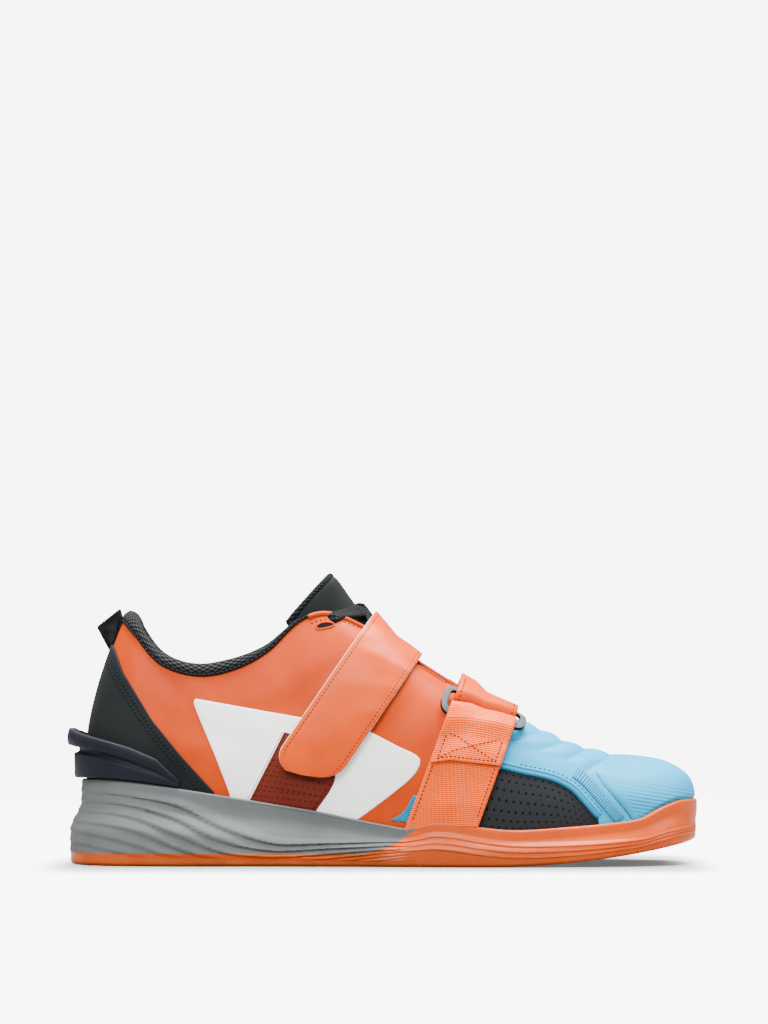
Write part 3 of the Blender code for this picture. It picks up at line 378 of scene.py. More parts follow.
def upper_controls():
    """Four control points of the wall's curve at each row of the closed loop."""
    feather = []
    for row, side in signed_rows():
        half = row.lat if side < 0 else row.med
        feather.append((place_x(row.x), centre_y(row.x) + side * half * last_width(row.x),
                        footbed(row.x) + GAP))
    feather = np.array(feather, float)
    low, high, top = [], [], []
    for (row, side), foot, normal in zip(signed_rows(), feather, plan_normals(feather)):
        crest = np.array([place_x(row.top_x),
                          centre_y(row.top_x) + side * row.top_y * last_width(row.top_x),
                          footbed(row.x) + row.top_z * INSTEP_RISE])
        height = crest[2] - foot[2]
        up = np.array([0.0, 0.0, 1.0])
        low.append(foot + normal * row.belly * BALL_WIDTH + up * row.rise * height)
        lean = (foot - crest) * np.array([1.0, 1.0, 0.0])
        high.append(crest + lean * row.shoulder - up * row.drop * height)
        top.append(crest)
    return feather, np.array(low), np.array(high), np.array(top)


FEATHER, LOW, HIGH, TOP = upper_controls()


def around(values, k):
    """Catmull-Rom reading of a closed loop of points at row numbers k."""
    k = np.asarray(k, float)
    i = np.floor(k).astype(int)
    t = (k - i)[..., None]
    return catmull_rom(*(values[(i + j) % len(values)] for j in (-1, 0, 1, 2)), t)


def crest_point(k):
    """Top edge of the wall, kept on the ridge where the two sides join."""
    point = around(TOP, k)
    side = np.where(np.mod(k, LOOP) <= ROWS, -1.0, 1.0)
    middle = centre_y(share_of(point[..., 0]))
    half = side * (point[..., 1] - middle)
    half = np.where(half < GAP, 0.0, half)
    return np.stack([point[..., 0], middle + side * half, point[..., 2]], axis=-1)


def skin(k, v):
    """Point on the upper's outer face: k runs round the last, v from feather to top."""
    k, v = np.broadcast_arrays(np.asarray(k, float), np.asarray(v, float))
    a, b, c, d = around(FEATHER, k), around(LOW, k), around(HIGH, k), crest_point(k)
    v = v[..., None]
    return (a * (1 - v) ** 3 + 3 * b * v * (1 - v) ** 2
            + 3 * c * v * v * (1 - v) + d * v ** 3)


def unit(vectors):
    """Vectors at a length of one."""
    return vectors / np.maximum(np.linalg.norm(vectors, axis=-1, keepdims=True), 1e-12)


def skin_normal(k, v):
    """Outward normal of the upper's outer face."""
    step = 0.02
    along = skin(k + step, v) - skin(k - step, v)
    rising = skin(k, np.minimum(1.0, v + step)) - skin(k, np.maximum(0.0, v - step))
    return unit(np.cross(along, rising))


def level_at(k, z):
    """The v at which the wall reaches height z."""
    k, z = np.broadcast_arrays(np.asarray(k, float), np.asarray(z, float))
    low, high = np.zeros(k.shape), np.ones(k.shape)
    for _ in range(20):
        middle = (low + high) / 2
        below = skin(k, middle)[..., 2] < z
        low, high = np.where(below, middle, low), np.where(below, high, middle)
    return (low + high) / 2


def find_on_side(side, x, z):
    """Row number and level of the wall's point that shows at (x, z) from one side."""
    x, z = np.broadcast_arrays(np.asarray(x, float), np.asarray(z, float))
    low, high = np.zeros(x.shape), np.full(x.shape, float(ROWS))
    for _ in range(18):
        middle = (low + high) / 2
        behind = skin(middle, level_at(middle, z))[..., 0] < x
        low, high = np.where(behind, middle, low), np.where(behind, high, middle)
    k = (low + high) / 2
    level = level_at(k, z)
    return (k if side < 0 else LOOP - k), level


def smooth_path(points, count):
    """Smooth line through a flat line's points, read at even steps of length."""
    points = np.asarray(points, float)
    steps = lengths_along(points)
    keep = np.concatenate([[True], np.diff(steps) > SAME_PLACE])
    rows = [PathRow(step, *point) for step, point in zip(steps[keep], points[keep])]
    wanted = np.linspace(0.0, rows[-1].x, count)
    return np.stack([table(rows, "a", wanted), table(rows, "b", wanted)], axis=1)


def outline(spots):
    """An outline's spots as (x, z) places in metres."""
    return np.array([(place_x(spot.x), spot.z * INSTEP_RISE) for spot in spots])


def edge_curve(spots, count):
    """Smooth line through an outline's spots, as (x, z) at even steps of length."""
    return smooth_path(outline(spots), count)


def edge_height(spots, x):
    """Height of an outline over x, read straight between its spots."""
    return np.interp(x, *outline(spots).T)


def clustered(count):
    """Shares from 0 to 1, close together at both ends."""
    return (1.0 - np.cos(np.pi * np.arange(count) / (count - 1))) / 2.0


def rolled(distance, height, radius=0.0007):
    """Height of a panel near its cut edge: a quarter round."""
    t = np.clip(distance / radius, 0.0, 1.0)
    return height * np.sqrt(1.0 - (1.0 - t) ** 2)


def cut_edge(distance, height):
    """Height of a panel whose cut edge is sunk in the skin."""
    return rolled(distance, height + EDGE_SINK) - EDGE_SINK


def facing_out(side, rows):
    """Rows of a sheet, turned round on the medial side."""
    return rows[:, ::-1] if side > 0 else rows


# Making meshes


def clear_selection():
    """Leaves edit mode and deselects everything."""
    if bpy.context.object and bpy.context.object.mode != "OBJECT":
        bpy.ops.object.mode_set(mode="OBJECT")
    bpy.ops.object.select_all(action="DESELECT")


def make_active(piece):
    """Selects one piece alone."""
    clear_selection()
    piece.select_set(True)
    bpy.context.view_layer.objects.active = piece


def loft(name, rows, closed=False, fill=False, merge=True):
    """A grid primitive laid over rows of points; closed joins the ends of each row."""
    rows = np.asarray(rows, float)
    if closed:
        rows = np.concatenate([rows, rows[:, :1]], axis=1)
    count, width = rows.shape[:2]
    clear_selection()
    bpy.ops.mesh.primitive_grid_add(x_subdivisions=width - 1, y_subdivisions=count - 1, size=1)
    piece = bpy.context.object
    piece.name = name
    piece.data.name = name
    piece.data.vertices.foreach_set("co", rows.reshape(-1))
    scale_uv(piece, rows)
    mend(piece, merge, fill, outwards=fill)
    bpy.ops.object.shade_smooth()
    return piece


def mend(piece, merge=False, fill=False, outwards=False):
    """Merges doubles, closes holes and turns the faces outwards, as asked."""
    make_active(piece)
    bpy.ops.object.mode_set(mode="EDIT")
    bpy.ops.mesh.select_all(action="SELECT")
    if merge:
        bpy.ops.mesh.remove_doubles(threshold=MERGE_DISTANCE)
    if fill:
        bpy.ops.mesh.fill_holes(sides=0)
    if outwards:
        bpy.ops.mesh.normals_make_consistent(inside=False)
    bpy.ops.object.mode_set(mode="OBJECT")


def scale_uv(piece, rows):
    """UV in metres: along a middle row, and across a middle column."""
    middle_row, middle_column = rows[len(rows) // 2], rows[:, rows.shape[1] // 2]
    width = np.linalg.norm(np.diff(middle_row, axis=0), axis=1).sum()
    height = np.linalg.norm(np.diff(middle_column, axis=0), axis=1).sum()
    layer = piece.data.uv_layers.active.uv
    values = np.empty(2 * len(layer))
    layer.foreach_get("vector", values)
    values = values.reshape(-1, 2) * (width, height)
    layer.foreach_set("vector", values.reshape(-1))


def sharpen(piece, degrees):
    """Smooth shading, kept sharp along edges over an angle."""
    make_active(piece)
    bpy.ops.object.shade_smooth_by_angle(angle=math.radians(degrees))


def apply_modifier(piece, kind, **values):
    """Adds a modifier with its values and applies it."""
    step = piece.modifiers.new(kind.title(), kind)
    for name, value in values.items():
        setattr(step, name, value)
    make_active(piece)
    bpy.ops.object.modifier_apply(modifier=step.name)


def dressed(piece, finish, slot, *nodes, inner=None):
    """Gives a piece its finish and its body, and hides the nodes it stands for; the slot is not used.
    """
    for part in (finish, inner):
        if part:
            piece.data.materials.append(FINISHES[part].made)
    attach(piece, "root")
    if nodes:
        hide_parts(*nodes)
    return piece


def tube(name, points, radius, sides=10):
    """Round bead along a line of points."""
    along = unit(np.gradient(points, axis=0))
    across = np.zeros_like(points)
    guide = np.array([0.0, 0.0, 1.0])
    if abs(along[0][2]) > 0.9:
        guide = np.array([1.0, 0.0, 0.0])
    for i, tangent in enumerate(along):
        guide = unit(guide - tangent * guide.dot(tangent))
        across[i] = guide
    other = np.cross(along, across)
    angle = 2 * np.pi * np.arange(sides) / sides
    rows = (points[:, None] + radius * (across[:, None] * np.cos(angle)[None, :, None]
                                        + other[:, None] * np.sin(angle)[None, :, None]))
    return loft(name, rows, closed=True, fill=True)


def even_steps(points, pitch):
    """Points at an even pitch along a line, each with the line's direction."""
    steps = lengths_along(points)
    count = max(2, int(round(steps[-1] / pitch)) + 1)
    spots = read_line(np.linspace(0.0, steps[-1], count), steps, points)
    return spots, unit(np.gradient(spots, axis=0))


def one_stitch():
    """A sewn stitch, modelled once: a six-sided bead with its ends turned down."""
    clear_selection()
    bpy.ops.mesh.primitive_uv_sphere_add(segments=6, ring_count=5, radius=0.5)
    bead = bpy.context.object
    bead.rotation_euler = (0.0, math.pi / 2, 0.0)
    bpy.ops.object.transform_apply(location=False, rotation=True, scale=False)
    places = np.array([vert.co for vert in bead.data.vertices])
    faces = [tuple(face.vertices) for face in bead.data.polygons]
    bpy.data.objects.remove(bead)
    places[:, 2] -= 0.9 * np.abs(places[:, 0]) ** 2
    return places, faces


def stitches(name, runs, pitch, length, thick, finish, slot):
    """Rows of stitches; each run is (points, normals) of a line on a surface."""
    bead, faces = one_stitch()
    verts, loops = [], []
    for points, normals in runs:
        spots, along = even_steps(points, pitch)
        tips, _ = even_steps(points + normals, pitch)
        if len(tips) == len(spots):
            normal = tips - spots
        else:
            normal = read_line(np.linspace(0, 1, len(spots)), np.linspace(0, 1, len(normals)), normals)
        normal = unit(normal - along * (normal * along).sum(axis=1, keepdims=True))
        side = np.cross(normal, along)
        for spot, forward, up, across in zip(spots, along, normal, side):
            start = len(verts)
            verts.extend(spot + bead[:, :1] * length * forward + bead[:, 1:2] * thick * across
                         + bead[:, 2:] * thick * up)
            loops.extend(tuple(start + index for index in face) for face in faces)
    mesh = bpy.data.meshes.new(name)
    mesh.from_pydata([tuple(vert) for vert in verts], [], loops)
    piece = bpy.data.objects.new(name, mesh)
    bpy.context.collection.objects.link(piece)
    make_active(piece)
    bpy.ops.object.shade_smooth()
    return dressed(piece, finish, slot)


# Node groups shared by the finishes


def node_group(name, inputs, outputs):
    """An empty shader group with its named sockets."""
    group = bpy.data.node_groups.new(name, "ShaderNodeTree")
    for label, kind, value in inputs:
        socket = group.interface.new_socket(name=label, in_out="INPUT", socket_type=kind)
        if value is not None:
            socket.default_value = value
    for label, kind in outputs:
        group.interface.new_socket(name=label, in_out="OUTPUT", socket_type=kind)
    start = group.nodes.new("NodeGroupInput")
    end = group.nodes.new("NodeGroupOutput")
    return group, start, end


class Sketch:
    """Short names for adding and linking nodes in one tree."""

    def __init__(self, tree):
        self.tree = tree
        self.nodes = tree.nodes
        self.links = tree.links

    def add(self, kind, links=(), **values):
        node = self.nodes.new("ShaderNode" + kind)
        for name, value in values.items():
            if hasattr(node, name):
                setattr(node, name, value)
            else:
                node.inputs[name.replace("_", " ").title()].default_value = value
        for socket, source in dict(links).items():
            self.links.new(source, node.inputs[socket])
        return node

    def maths(self, operation, a, b=None, c=None, clamp=False):
        """A Math node of values or sockets."""
        node = self.nodes.new("ShaderNodeMath")
        node.operation = operation
        node.use_clamp = clamp
        for index, value in enumerate((a, b, c)):
            if value is None:
                continue
            if isinstance(value, (int, float)):
                node.inputs[index].default_value = value
            else:
                self.links.new(value, node.inputs[index])
        return node.outputs[0]

    def noise(self, vector, scale):
        """Fibres: a rough, detailed noise."""
        return self.add("TexNoise", {"Vector": vector}, Scale=scale, Detail=3.0,
                        Roughness=0.7).outputs["Fac"]

    def ramp(self, value, low, high):
        """An eased mask, 0 at low and 1 at high."""
        node = self.nodes.new("ShaderNodeMapRange")
        node.interpolation_type = "SMOOTHSTEP"
        node.inputs["From Min"].default_value = low
        node.inputs["From Max"].default_value = high
        self.links.new(value, node.inputs["Value"])
        return node.outputs["Result"]

    def mix(self, factor, first, second):
        """A blend of two colours."""
        node = self.nodes.new("ShaderNodeMix")
        node.data_type = "RGBA"
        for index, value in ((0, factor), (6, first), (7, second)):
            if hasattr(value, "links"):
                self.links.new(value, node.inputs[index])
            else:
                node.inputs[index].default_value = value
        return node.outputs[2]

    def bump(self, height, distance, strength):
        return self.add("Bump", {"Height": height}, Distance=distance,
                        Strength=strength).outputs["Normal"]


def build_groups():
    """Grain, knit, mottle and line patterns used by several finishes."""
    vector = ("Vector", "NodeSocketVector", None)

    group, start, end = node_group("Grain", (vector, ("Scale", "NodeSocketFloat", 900.0)),
                                   (("Height", "NodeSocketFloat"),))
    sketch = Sketch(group)
    cells = sketch.add("TexVoronoi", {"Vector": start.outputs[0], "Scale": start.outputs[1]},
                       feature="SMOOTH_F1")
    folds = sketch.add("TexNoise", {"Vector": start.outputs[0], "Scale": start.outputs[1]},
                       Detail=3.0)
    height = sketch.maths("MULTIPLY_ADD", cells.outputs["Distance"], -0.7, folds.outputs["Fac"])
    sketch.links.new(height, end.inputs[0])

    group, start, end = node_group("Mottle", (vector, ("Scale", "NodeSocketFloat", 40.0),
                                              ("Low", "NodeSocketFloat", 0.4),
                                              ("High", "NodeSocketFloat", 0.65)),
                                   (("Mask", "NodeSocketFloat"),))
    sketch = Sketch(group)
    spots = sketch.add("TexNoise", {"Vector": start.outputs[0], "Scale": start.outputs[1]},
                       Detail=4.0)
    spread = sketch.add("MapRange", {"Value": spots.outputs["Fac"], "From Min": start.outputs[2],
                                     "From Max": start.outputs[3]},
                        interpolation_type="SMOOTHSTEP")
    sketch.links.new(spread.outputs["Result"], end.inputs[0])

    group, start, end = node_group("Lattice", (vector, ("Across", "NodeSocketFloat", 500.0),
                                               ("Along", "NodeSocketFloat", 500.0)),
                                   (("Height", "NodeSocketFloat"), ("First", "NodeSocketFloat")))
    sketch = Sketch(group)
    parts = sketch.add("SeparateXYZ", {"Vector": start.outputs[0]})
    first = sketch.maths("SINE", sketch.maths("MULTIPLY", parts.outputs[0], start.outputs[1]))
    second = sketch.maths("SINE", sketch.maths("MULTIPLY", parts.outputs[1], start.outputs[2]))
    sketch.links.new(sketch.maths("MULTIPLY", first, second), end.inputs[0])
    sketch.links.new(first, end.inputs[1])

    group, start, end = node_group("Dots", (vector, ("Pitch X", "NodeSocketFloat", 0.0033),
                                            ("Pitch Y", "NodeSocketFloat", 0.003),
                                            ("Radius", "NodeSocketFloat", 0.0006)),
                                   (("Mask", "NodeSocketFloat"),))
    sketch = Sketch(group)
    parts = sketch.add("SeparateXYZ", {"Vector": start.outputs[0]})
    row = sketch.maths("DIVIDE", parts.outputs[1], start.outputs[2])
    shift = sketch.maths("MULTIPLY", sketch.maths("PINGPONG", sketch.maths("FLOOR", row), 1.0), 0.5)
    place = sketch.maths("ADD", sketch.maths("DIVIDE", parts.outputs[0], start.outputs[1]), shift)
    away = [sketch.maths("MULTIPLY", sketch.maths("SUBTRACT", sketch.maths("FRACT", value), 0.5), size)
            for value, size in ((place, start.outputs[1]), (row, start.outputs[2]))]
    squares = [sketch.maths("MULTIPLY", value, value) for value in away]
    reach = sketch.maths("SQRT", sketch.maths("ADD", *squares))
    edge = sketch.maths("SUBTRACT", start.outputs[3], reach)
    sketch.links.new(sketch.maths("MULTIPLY", edge, 9000.0, clamp=True), end.inputs[0])


def linear(red, green, blue):
    """Reflectance of a surface as a colour with full cover."""
    return (red, green, blue, 1.0)


class Finish(Sketch):
    """A Principled material with its pattern coordinates at hand."""

    def __init__(self, name, colour, roughness, **values):
        self.made = bpy.data.materials.new(name)
        self.made.use_nodes = True
        super().__init__(self.made.node_tree)
        self.shader = self.nodes["Principled BSDF"]
        self.colour = linear(*colour)
        self.made.diffuse_color = self.colour
        self.shader.inputs["Base Color"].default_value = self.colour
        self.shader.inputs["Roughness"].default_value = roughness
        self.shader.inputs["Specular IOR Level"].default_value = 0.06
        for label, value in values.items():
            self.shader.inputs[label.replace("_", " ").title().replace("Ior", "IOR")
                               ].default_value = value
        places = self.add("TexCoord")
        self.object, self.uv = places.outputs["Object"], places.outputs["UV"]

    def use(self, name, vector, output=0, **values):
        """A shared node group with its own values."""
        node = self.nodes.new("ShaderNodeGroup")
        node.node_tree = bpy.data.node_groups[name]
        self.links.new(vector, node.inputs[0])
        for label, value in values.items():
            node.inputs[label.replace("_", " ").title()].default_value = value
        return node.outputs[output]

    def paint(self, colour):
        self.links.new(colour, self.shader.inputs["Base Color"])

    def shape(self, normal):
        self.links.new(normal, self.shader.inputs["Normal"])

    def rough(self, value):
        self.links.new(value, self.shader.inputs["Roughness"])

    def vary(self, darker, scale=45.0):
        """Blends the colour with another in soft patches."""
        mask = self.use("Mottle", self.object, Scale=scale, Low=0.35, High=0.7)
        return self.mix(mask, self.colour, linear(*darker))


def grained(row, **values):
    """Leather or moulding with a fine grain and soft patches."""
    finish = Finish(row.name, row.colour, row.rough, **values)
    finish.paint(finish.vary(row.darker))
    height = finish.use("Grain", finish.object, Scale=row.scale)
    finish.shape(finish.bump(height, row.depth, 0.55))
    return finish


# Grained finishes: colour, colour of its soft patches, roughness, depth and scale of the grain
Grained = namedtuple("Grained", "name colour darker rough depth scale")
GRAINED = {
    "orange": Grained("orange_leather", (0.40, 0.036, 0.0), (0.34, 0.029, 0.0),
                      0.42, 0.00006, 1100.0),
    "strap": Grained("strap_leather", (0.50, 0.052, 0.0), (0.44, 0.043, 0.0),
                     0.36, 0.00004, 1100.0),
    "slate": Grained("slate_leather", (0.0080, 0.0098, 0.0102), (0.0062, 0.0076, 0.0080),
                     0.75, 0.00005, 2600.0),
    "brick": Grained("brick_leather", (0.092, 0.013, 0.007), (0.078, 0.011, 0.006),
                     0.5, 0.00006, 1100.0),
    "white": Grained("white_print", (0.82, 0.82, 0.81), (0.78, 0.78, 0.78),
                     0.42, 0.00002, 1100.0),
    "backing": Grained("strap_backing", (0.50, 0.49, 0.47), (0.42, 0.41, 0.39),
                       0.8, 0.00008, 2200.0),
    "plastic": Grained("slate_plastic", (0.0085, 0.0094, 0.0135), (0.0075, 0.0082, 0.012),
                       0.42, 0.00002, 2400.0),
    "foam": Grained("grey_foam", (0.088, 0.097, 0.098), (0.078, 0.086, 0.087),
                    0.5, 0.00003, 1900.0),
    "ring": Grained("grey_ring", (0.075, 0.078, 0.080), (0.060, 0.062, 0.064),
                    0.36, 0.00002, 900.0),
    "ring_side": Grained("ring_side", (0.006, 0.006, 0.007), (0.004, 0.004, 0.005),
                         0.4, 0.00006, 1100.0),
    "edge": Grained("edge_piping", (0.36, 0.036, 0.0), (0.30, 0.028, 0.0),
                    0.4, 0.00002, 1100.0),
    # dark blue: painted shadow line beneath the panel's light blue cord
    "blue_shadow_line": Grained("blue_painted_shadow", (0.006, 0.13, 0.24), (0.005, 0.11, 0.20),
                         0.32, 0.00002, 1100.0),
}
COATED = {"strap": {"coat_weight": 0.06, "coat_roughness": 0.3},
          "slate": {"sheen_weight": 0.01, "sheen_roughness": 0.5}}
PLAIN = {
    "thread_dark": ("dark_thread", (0.004, 0.005, 0.006), 0.6),
    "thread_orange": ("orange_thread", (0.11, 0.009, 0.001), 0.55),
    "thread_brick": ("brick_thread", (0.05, 0.006, 0.003), 0.55),
    "thread_blue": ("blue_thread", (0.005, 0.07, 0.13), 0.55),
    # nearly black: painted shade inside punched holes and eyelet slots
    "hole": ("punched_hole", (0.006, 0.003, 0.002), 0.9),
}
FINISHES = {}


def build_finishes():
    """Fills FINISHES, from which the pieces are dressed."""
    build_groups()
    for key, row in GRAINED.items():
        FINISHES[key] = grained(row, **COATED.get(key, {}))
    for key, row in PLAIN.items():
        FINISHES[key] = Finish(*row)
    FINISHES.update({
        "gum": gum_finish(),
        "knit": knit_finish("black_knit", (0.0020, 0.0021, 0.0026), (0.026, 0.027, 0.030)),
        "lace": knit_finish("black_lace", (0.003, 0.0033, 0.0036), (0.012, 0.013, 0.015), 2600.0),
        "nylon": nylon_finish(),
        "blue": blue_finish(),
        "perforated": perforated_finish(),
        "band": ribbed_finish("blue_ribbed_band", (0.008, 0.23, 0.40), (0.004, 0.11, 0.20), 0.0011),
    })


def gum_finish():
    """Translucent natural rubber, paler up along the thin lip, with painted shade that darkens it
    towards the bottom.
    """
    finish = Finish("gum_rubber", (0.40, 0.050, 0.003), 0.34, subsurface_weight=0.45,
                    subsurface_scale=0.006, coat_weight=0.12, coat_roughness=0.25)
    finish.shader.inputs["Subsurface Radius"].default_value = (1.0, 0.45, 0.22)
    parts = finish.add("SeparateXYZ", {"Vector": finish.object})
    # painted shade: the rubber is mixed towards a dark colour near its bottom
    low = finish.ramp(parts.outputs[2], 0.012, 0.001)
    deep = finish.mix(finish.maths("MULTIPLY", low, 0.5), finish.colour, linear(0.19, 0.044, 0.006))
    clouds = finish.use("Mottle", finish.object, Scale=30.0, Low=0.35, High=0.7)
    finish.paint(finish.mix(finish.maths("MULTIPLY", clouds, 0.45), deep, linear(0.56, 0.080, 0.008)))
    height = finish.use("Grain", finish.object, Scale=700.0)
    finish.shape(finish.bump(height, 0.00002, 0.4))
    return finish


def knit_finish(name, colour, lighter, pitch=1500.0):
    """Knitted or braided yarn, lighter on its raised threads as a painted highlight, darker between
    them as painted shade, and varied at random along its fibres.
    """
    finish = Finish(name, colour, 0.85, sheen_weight=0.015, sheen_roughness=0.5)
    height = finish.use("Lattice", finish.uv, Across=pitch * 0.9, Along=pitch * 1.2)
    fibres = finish.noise(finish.object, 3500.0)
    rise = finish.maths("MULTIPLY_ADD", fibres, 0.6, height)
    # painted highlight on the raised threads and painted shade between them, plus random fibre tone
    finish.paint(finish.mix(finish.ramp(rise, -0.3, 1.2), finish.colour, linear(*lighter)))
    finish.shape(finish.bump(rise, 0.0005, 0.9))
    return finish


def nylon_finish():
    """Shiny webbing: fine ribs across, threads along."""
    finish = Finish("orange_nylon", (0.60, 0.050, 0.0), 0.3, coat_weight=0.08,
                    coat_roughness=0.25)
    parts = finish.add("SeparateXYZ", {"Vector": finish.uv})
    along, across = parts.outputs[1], parts.outputs[0]
    ribs = finish.maths("SINE", finish.maths("MULTIPLY", along, 2 * math.pi / 0.00095))
    cross = finish.maths("SINE", finish.maths("MULTIPLY", finish.maths(
        "MULTIPLY_ADD", along, 0.25, across), 2 * math.pi / 0.0012))
    threads = finish.noise(finish.object, 1800.0)
    rise = finish.maths("ADD", finish.maths("MULTIPLY_ADD", cross, 0.3, ribs), threads)
    # painted shade in the rib valleys and painted highlight on their crests, with random thread tone
    finish.paint(finish.mix(finish.ramp(rise, -1.2, 2.0), linear(0.42, 0.032, 0.0),
                            linear(0.90, 0.110, 0.0)))
    finish.rough(finish.ramp(rise, -3.0, 3.5))
    finish.shape(finish.bump(rise, 0.00016, 0.7))
    return finish


def blue_finish():
    """Moulded light blue synthetic: fine ribs low on the toe, a pebbled field above."""
    finish = Finish("blue_synthetic", (0.006, 0.255, 0.45), 0.42, coat_weight=0.02)
    finish.paint(finish.vary((0.005, 0.235, 0.42), scale=30.0))
    parts = finish.add("SeparateXYZ", {"Vector": finish.object})
    x, z = parts.outputs[0], parts.outputs[2]
    slant = finish.maths("MULTIPLY_ADD", x, 0.16, z)
    ribs = finish.maths("SINE", finish.maths("MULTIPLY", slant, 2 * math.pi / 0.0017))
    front = finish.maths("MULTIPLY_ADD", z, 0.62, x)
    mask = finish.ramp(front, 0.1315, 0.1335)
    low = finish.ramp(z, 0.040, 0.030)
    ribs = finish.maths("MULTIPLY", finish.maths("MULTIPLY", mask, low), ribs)
    pebbles = finish.use("Dots", finish.uv, 0, Pitch_X=0.0009, Pitch_Y=0.0008, Radius=0.0003)
    pebbles = finish.maths("MULTIPLY", pebbles, 0.12)
    grain = finish.use("Grain", finish.object, Scale=1800.0)
    rise = finish.maths("ADD", finish.maths("MULTIPLY_ADD", grain, 0.12, ribs), pebbles)
    finish.shape(finish.bump(rise, 0.00014, 0.7))
    return finish


def ribbed_finish(name, colour, darker, pitch):
    """Synthetic with ribs across, with painted shade darkening their valleys."""
    finish = Finish(name, colour, 0.45)
    parts = finish.add("SeparateXYZ", {"Vector": finish.uv})
    ribs = finish.maths("SINE", finish.maths("MULTIPLY", parts.outputs[0], 2 * math.pi / pitch))
    # painted shade: the rib valleys take the darker blue
    finish.paint(finish.mix(finish.ramp(ribs, -1.0, 0.4), linear(*darker), finish.colour))
    finish.shape(finish.bump(ribs, 0.0002, 0.8))
    return finish


def perforated_finish():
    """Black synthetic with rows of small punched holes, painted nearly black as the shade inside them.
    """
    finish = Finish("perforated_black", (0.012, 0.0132, 0.0150), 0.5)
    holes = finish.use("Dots", finish.uv, 0, Pitch_X=0.0033, Pitch_Y=0.0030, Radius=0.00055)
    # painted shade inside the punched holes
    finish.paint(finish.mix(holes, finish.colour, linear(0.001, 0.001, 0.001)))
    grain = finish.use("Grain", finish.object, Scale=1500.0)
    rise = finish.maths("SUBTRACT", finish.maths("MULTIPLY", grain, 0.12), holes)
    finish.shape(finish.bump(rise, 0.0003, 0.9))
    return finish


# Relief of the upper


CREST_KS = np.linspace(12.8, 18.0, 60)
CREST_LINE = crest_point(CREST_KS)


def crest_height(x):
    """Height of the ridge over the toes."""
    return np.interp(x, CREST_LINE[:, 0], CREST_LINE[:, 2])


BELLOWS_VALLEYS = (0.706, 0.7432, 0.7765, 0.8145, 0.8558)
BELLOWS_DEPTHS = (0.0014, 0.0018, 0.0018, 0.0017)
BELLOWS_SLANT = 1.55


def toe_relief(points):
    """Bellows over the toes: round pleats with tight valleys that fade down the sides."""
    x, z = points[..., 0], points[..., 2]
    drop = np.maximum(0.0, crest_height(x) - z)
    phase = share_of(x + BELLOWS_SLANT * drop - 0.22 * drop ** 2 / 0.020)
    fade = 1.0 - smooth((drop - 0.007) / 0.012)
    relief = np.zeros(x.shape)
    edges = np.array(BELLOWS_VALLEYS)
    for low, high, depth in zip(edges, edges[1:], BELLOWS_DEPTHS):
        t = (phase - low) / (high - low)
        inside = (t > 0) & (t < 1)
        round_top = np.where(inside, (4 * np.clip(t, 0, 1) * (1 - np.clip(t, 0, 1))) ** 0.6, 0)
        relief += depth * round_top
    t = np.clip((phase - edges[-1]) / 0.03, 0.0, 1.0)
    relief += 0.0010 * np.sqrt(1.0 - (1.0 - t) ** 2)
    past_cap = smooth((phase - edges[-1]) / 0.01)
    return relief * np.maximum(fade, past_cap * (1.0 - smooth((drop - 0.016) / 0.010)))


def toe_step(points):
    """The toe cap stands proud in front of its slanted edge."""
    x, z = points[..., 0], points[..., 2]
    curve = outline(TOE_CAP_EDGE)
    edge = np.interp(z, curve[:, 1], curve[:, 0])
    away = x - edge
    fade = 1.0 - smooth((z - 0.0400) / 0.004)
    return fade * (0.0004 * smooth(away / 0.0012) - 0.0007 * np.exp(-(away / 0.0007) ** 2))


# Soft troughs of the worn-in look of the leather: x, z, lean, length, width, depth
Trough = namedtuple("Trough", "x z lean long wide deep")
TROUGHS = (
    Trough(-0.098, 0.082, -0.9, 0.016, 0.0040, 0.00035),
    Trough(-0.078, 0.060, -0.3, 0.024, 0.0060, 0.00040),
    Trough(-0.052, 0.072, 0.2, 0.020, 0.0050, 0.00030),
    Trough(-0.028, 0.088, 0.6, 0.018, 0.0045, 0.00035),
    Trough(-0.012, 0.056, 1.1, 0.020, 0.0055, 0.00035),
    Trough(0.022, 0.050, 1.2, 0.020, 0.0050, 0.00035),
    Trough(-0.115, 0.056, 1.3, 0.018, 0.0050, 0.00025),
    Trough(0.008, 0.070, 0.9, 0.016, 0.0040, 0.00030),
)


def soft_troughs(points):
    """Shallow dents of worn leather, each with a ridge beside it."""
    relief = np.zeros(points.shape[:-1])
    for trough in TROUGHS:
        dx, dz = points[..., 0] - trough.x, points[..., 2] - trough.z
        along = dx * math.cos(trough.lean) + dz * math.sin(trough.lean)
        across = dz * math.cos(trough.lean) - dx * math.sin(trough.lean)
        shape = np.exp(-(along / trough.long) ** 2 - (across / trough.wide) ** 2)
        ridge = np.exp(-(along / trough.long) ** 2 - ((across - 2 * trough.wide) / trough.wide) ** 2)
        relief += trough.deep * (0.5 * ridge - shape)
    return relief


def lifted(k, v, rise):
    """Points on the worn skin, moved out by a rise."""
    base = skin(k, v)
    return base + skin_normal(k, v) * (rise + soft_troughs(base))[..., None]


def make_upper():
    """One lasted shell, lined inside."""
    ks = np.arange(0, LOOP, ROW_STEP)
    vs = np.linspace(0.0, 1.0, 52)[:, None]
    rows = lifted(ks[None, :], vs, np.zeros((52, len(ks))))
    rows[-1] = skin(ks, 1.0)
    piece = loft("upper", rows, closed=True)
    dressed(piece, "orange", "orange_leather", "upper", inner="knit")
    apply_modifier(piece, "SOLIDIFY", thickness=UPPER_WALL, offset=-1.0, use_even_offset=True,
                   thickness_clamp=0.0, material_offset=1, material_offset_rim=0)


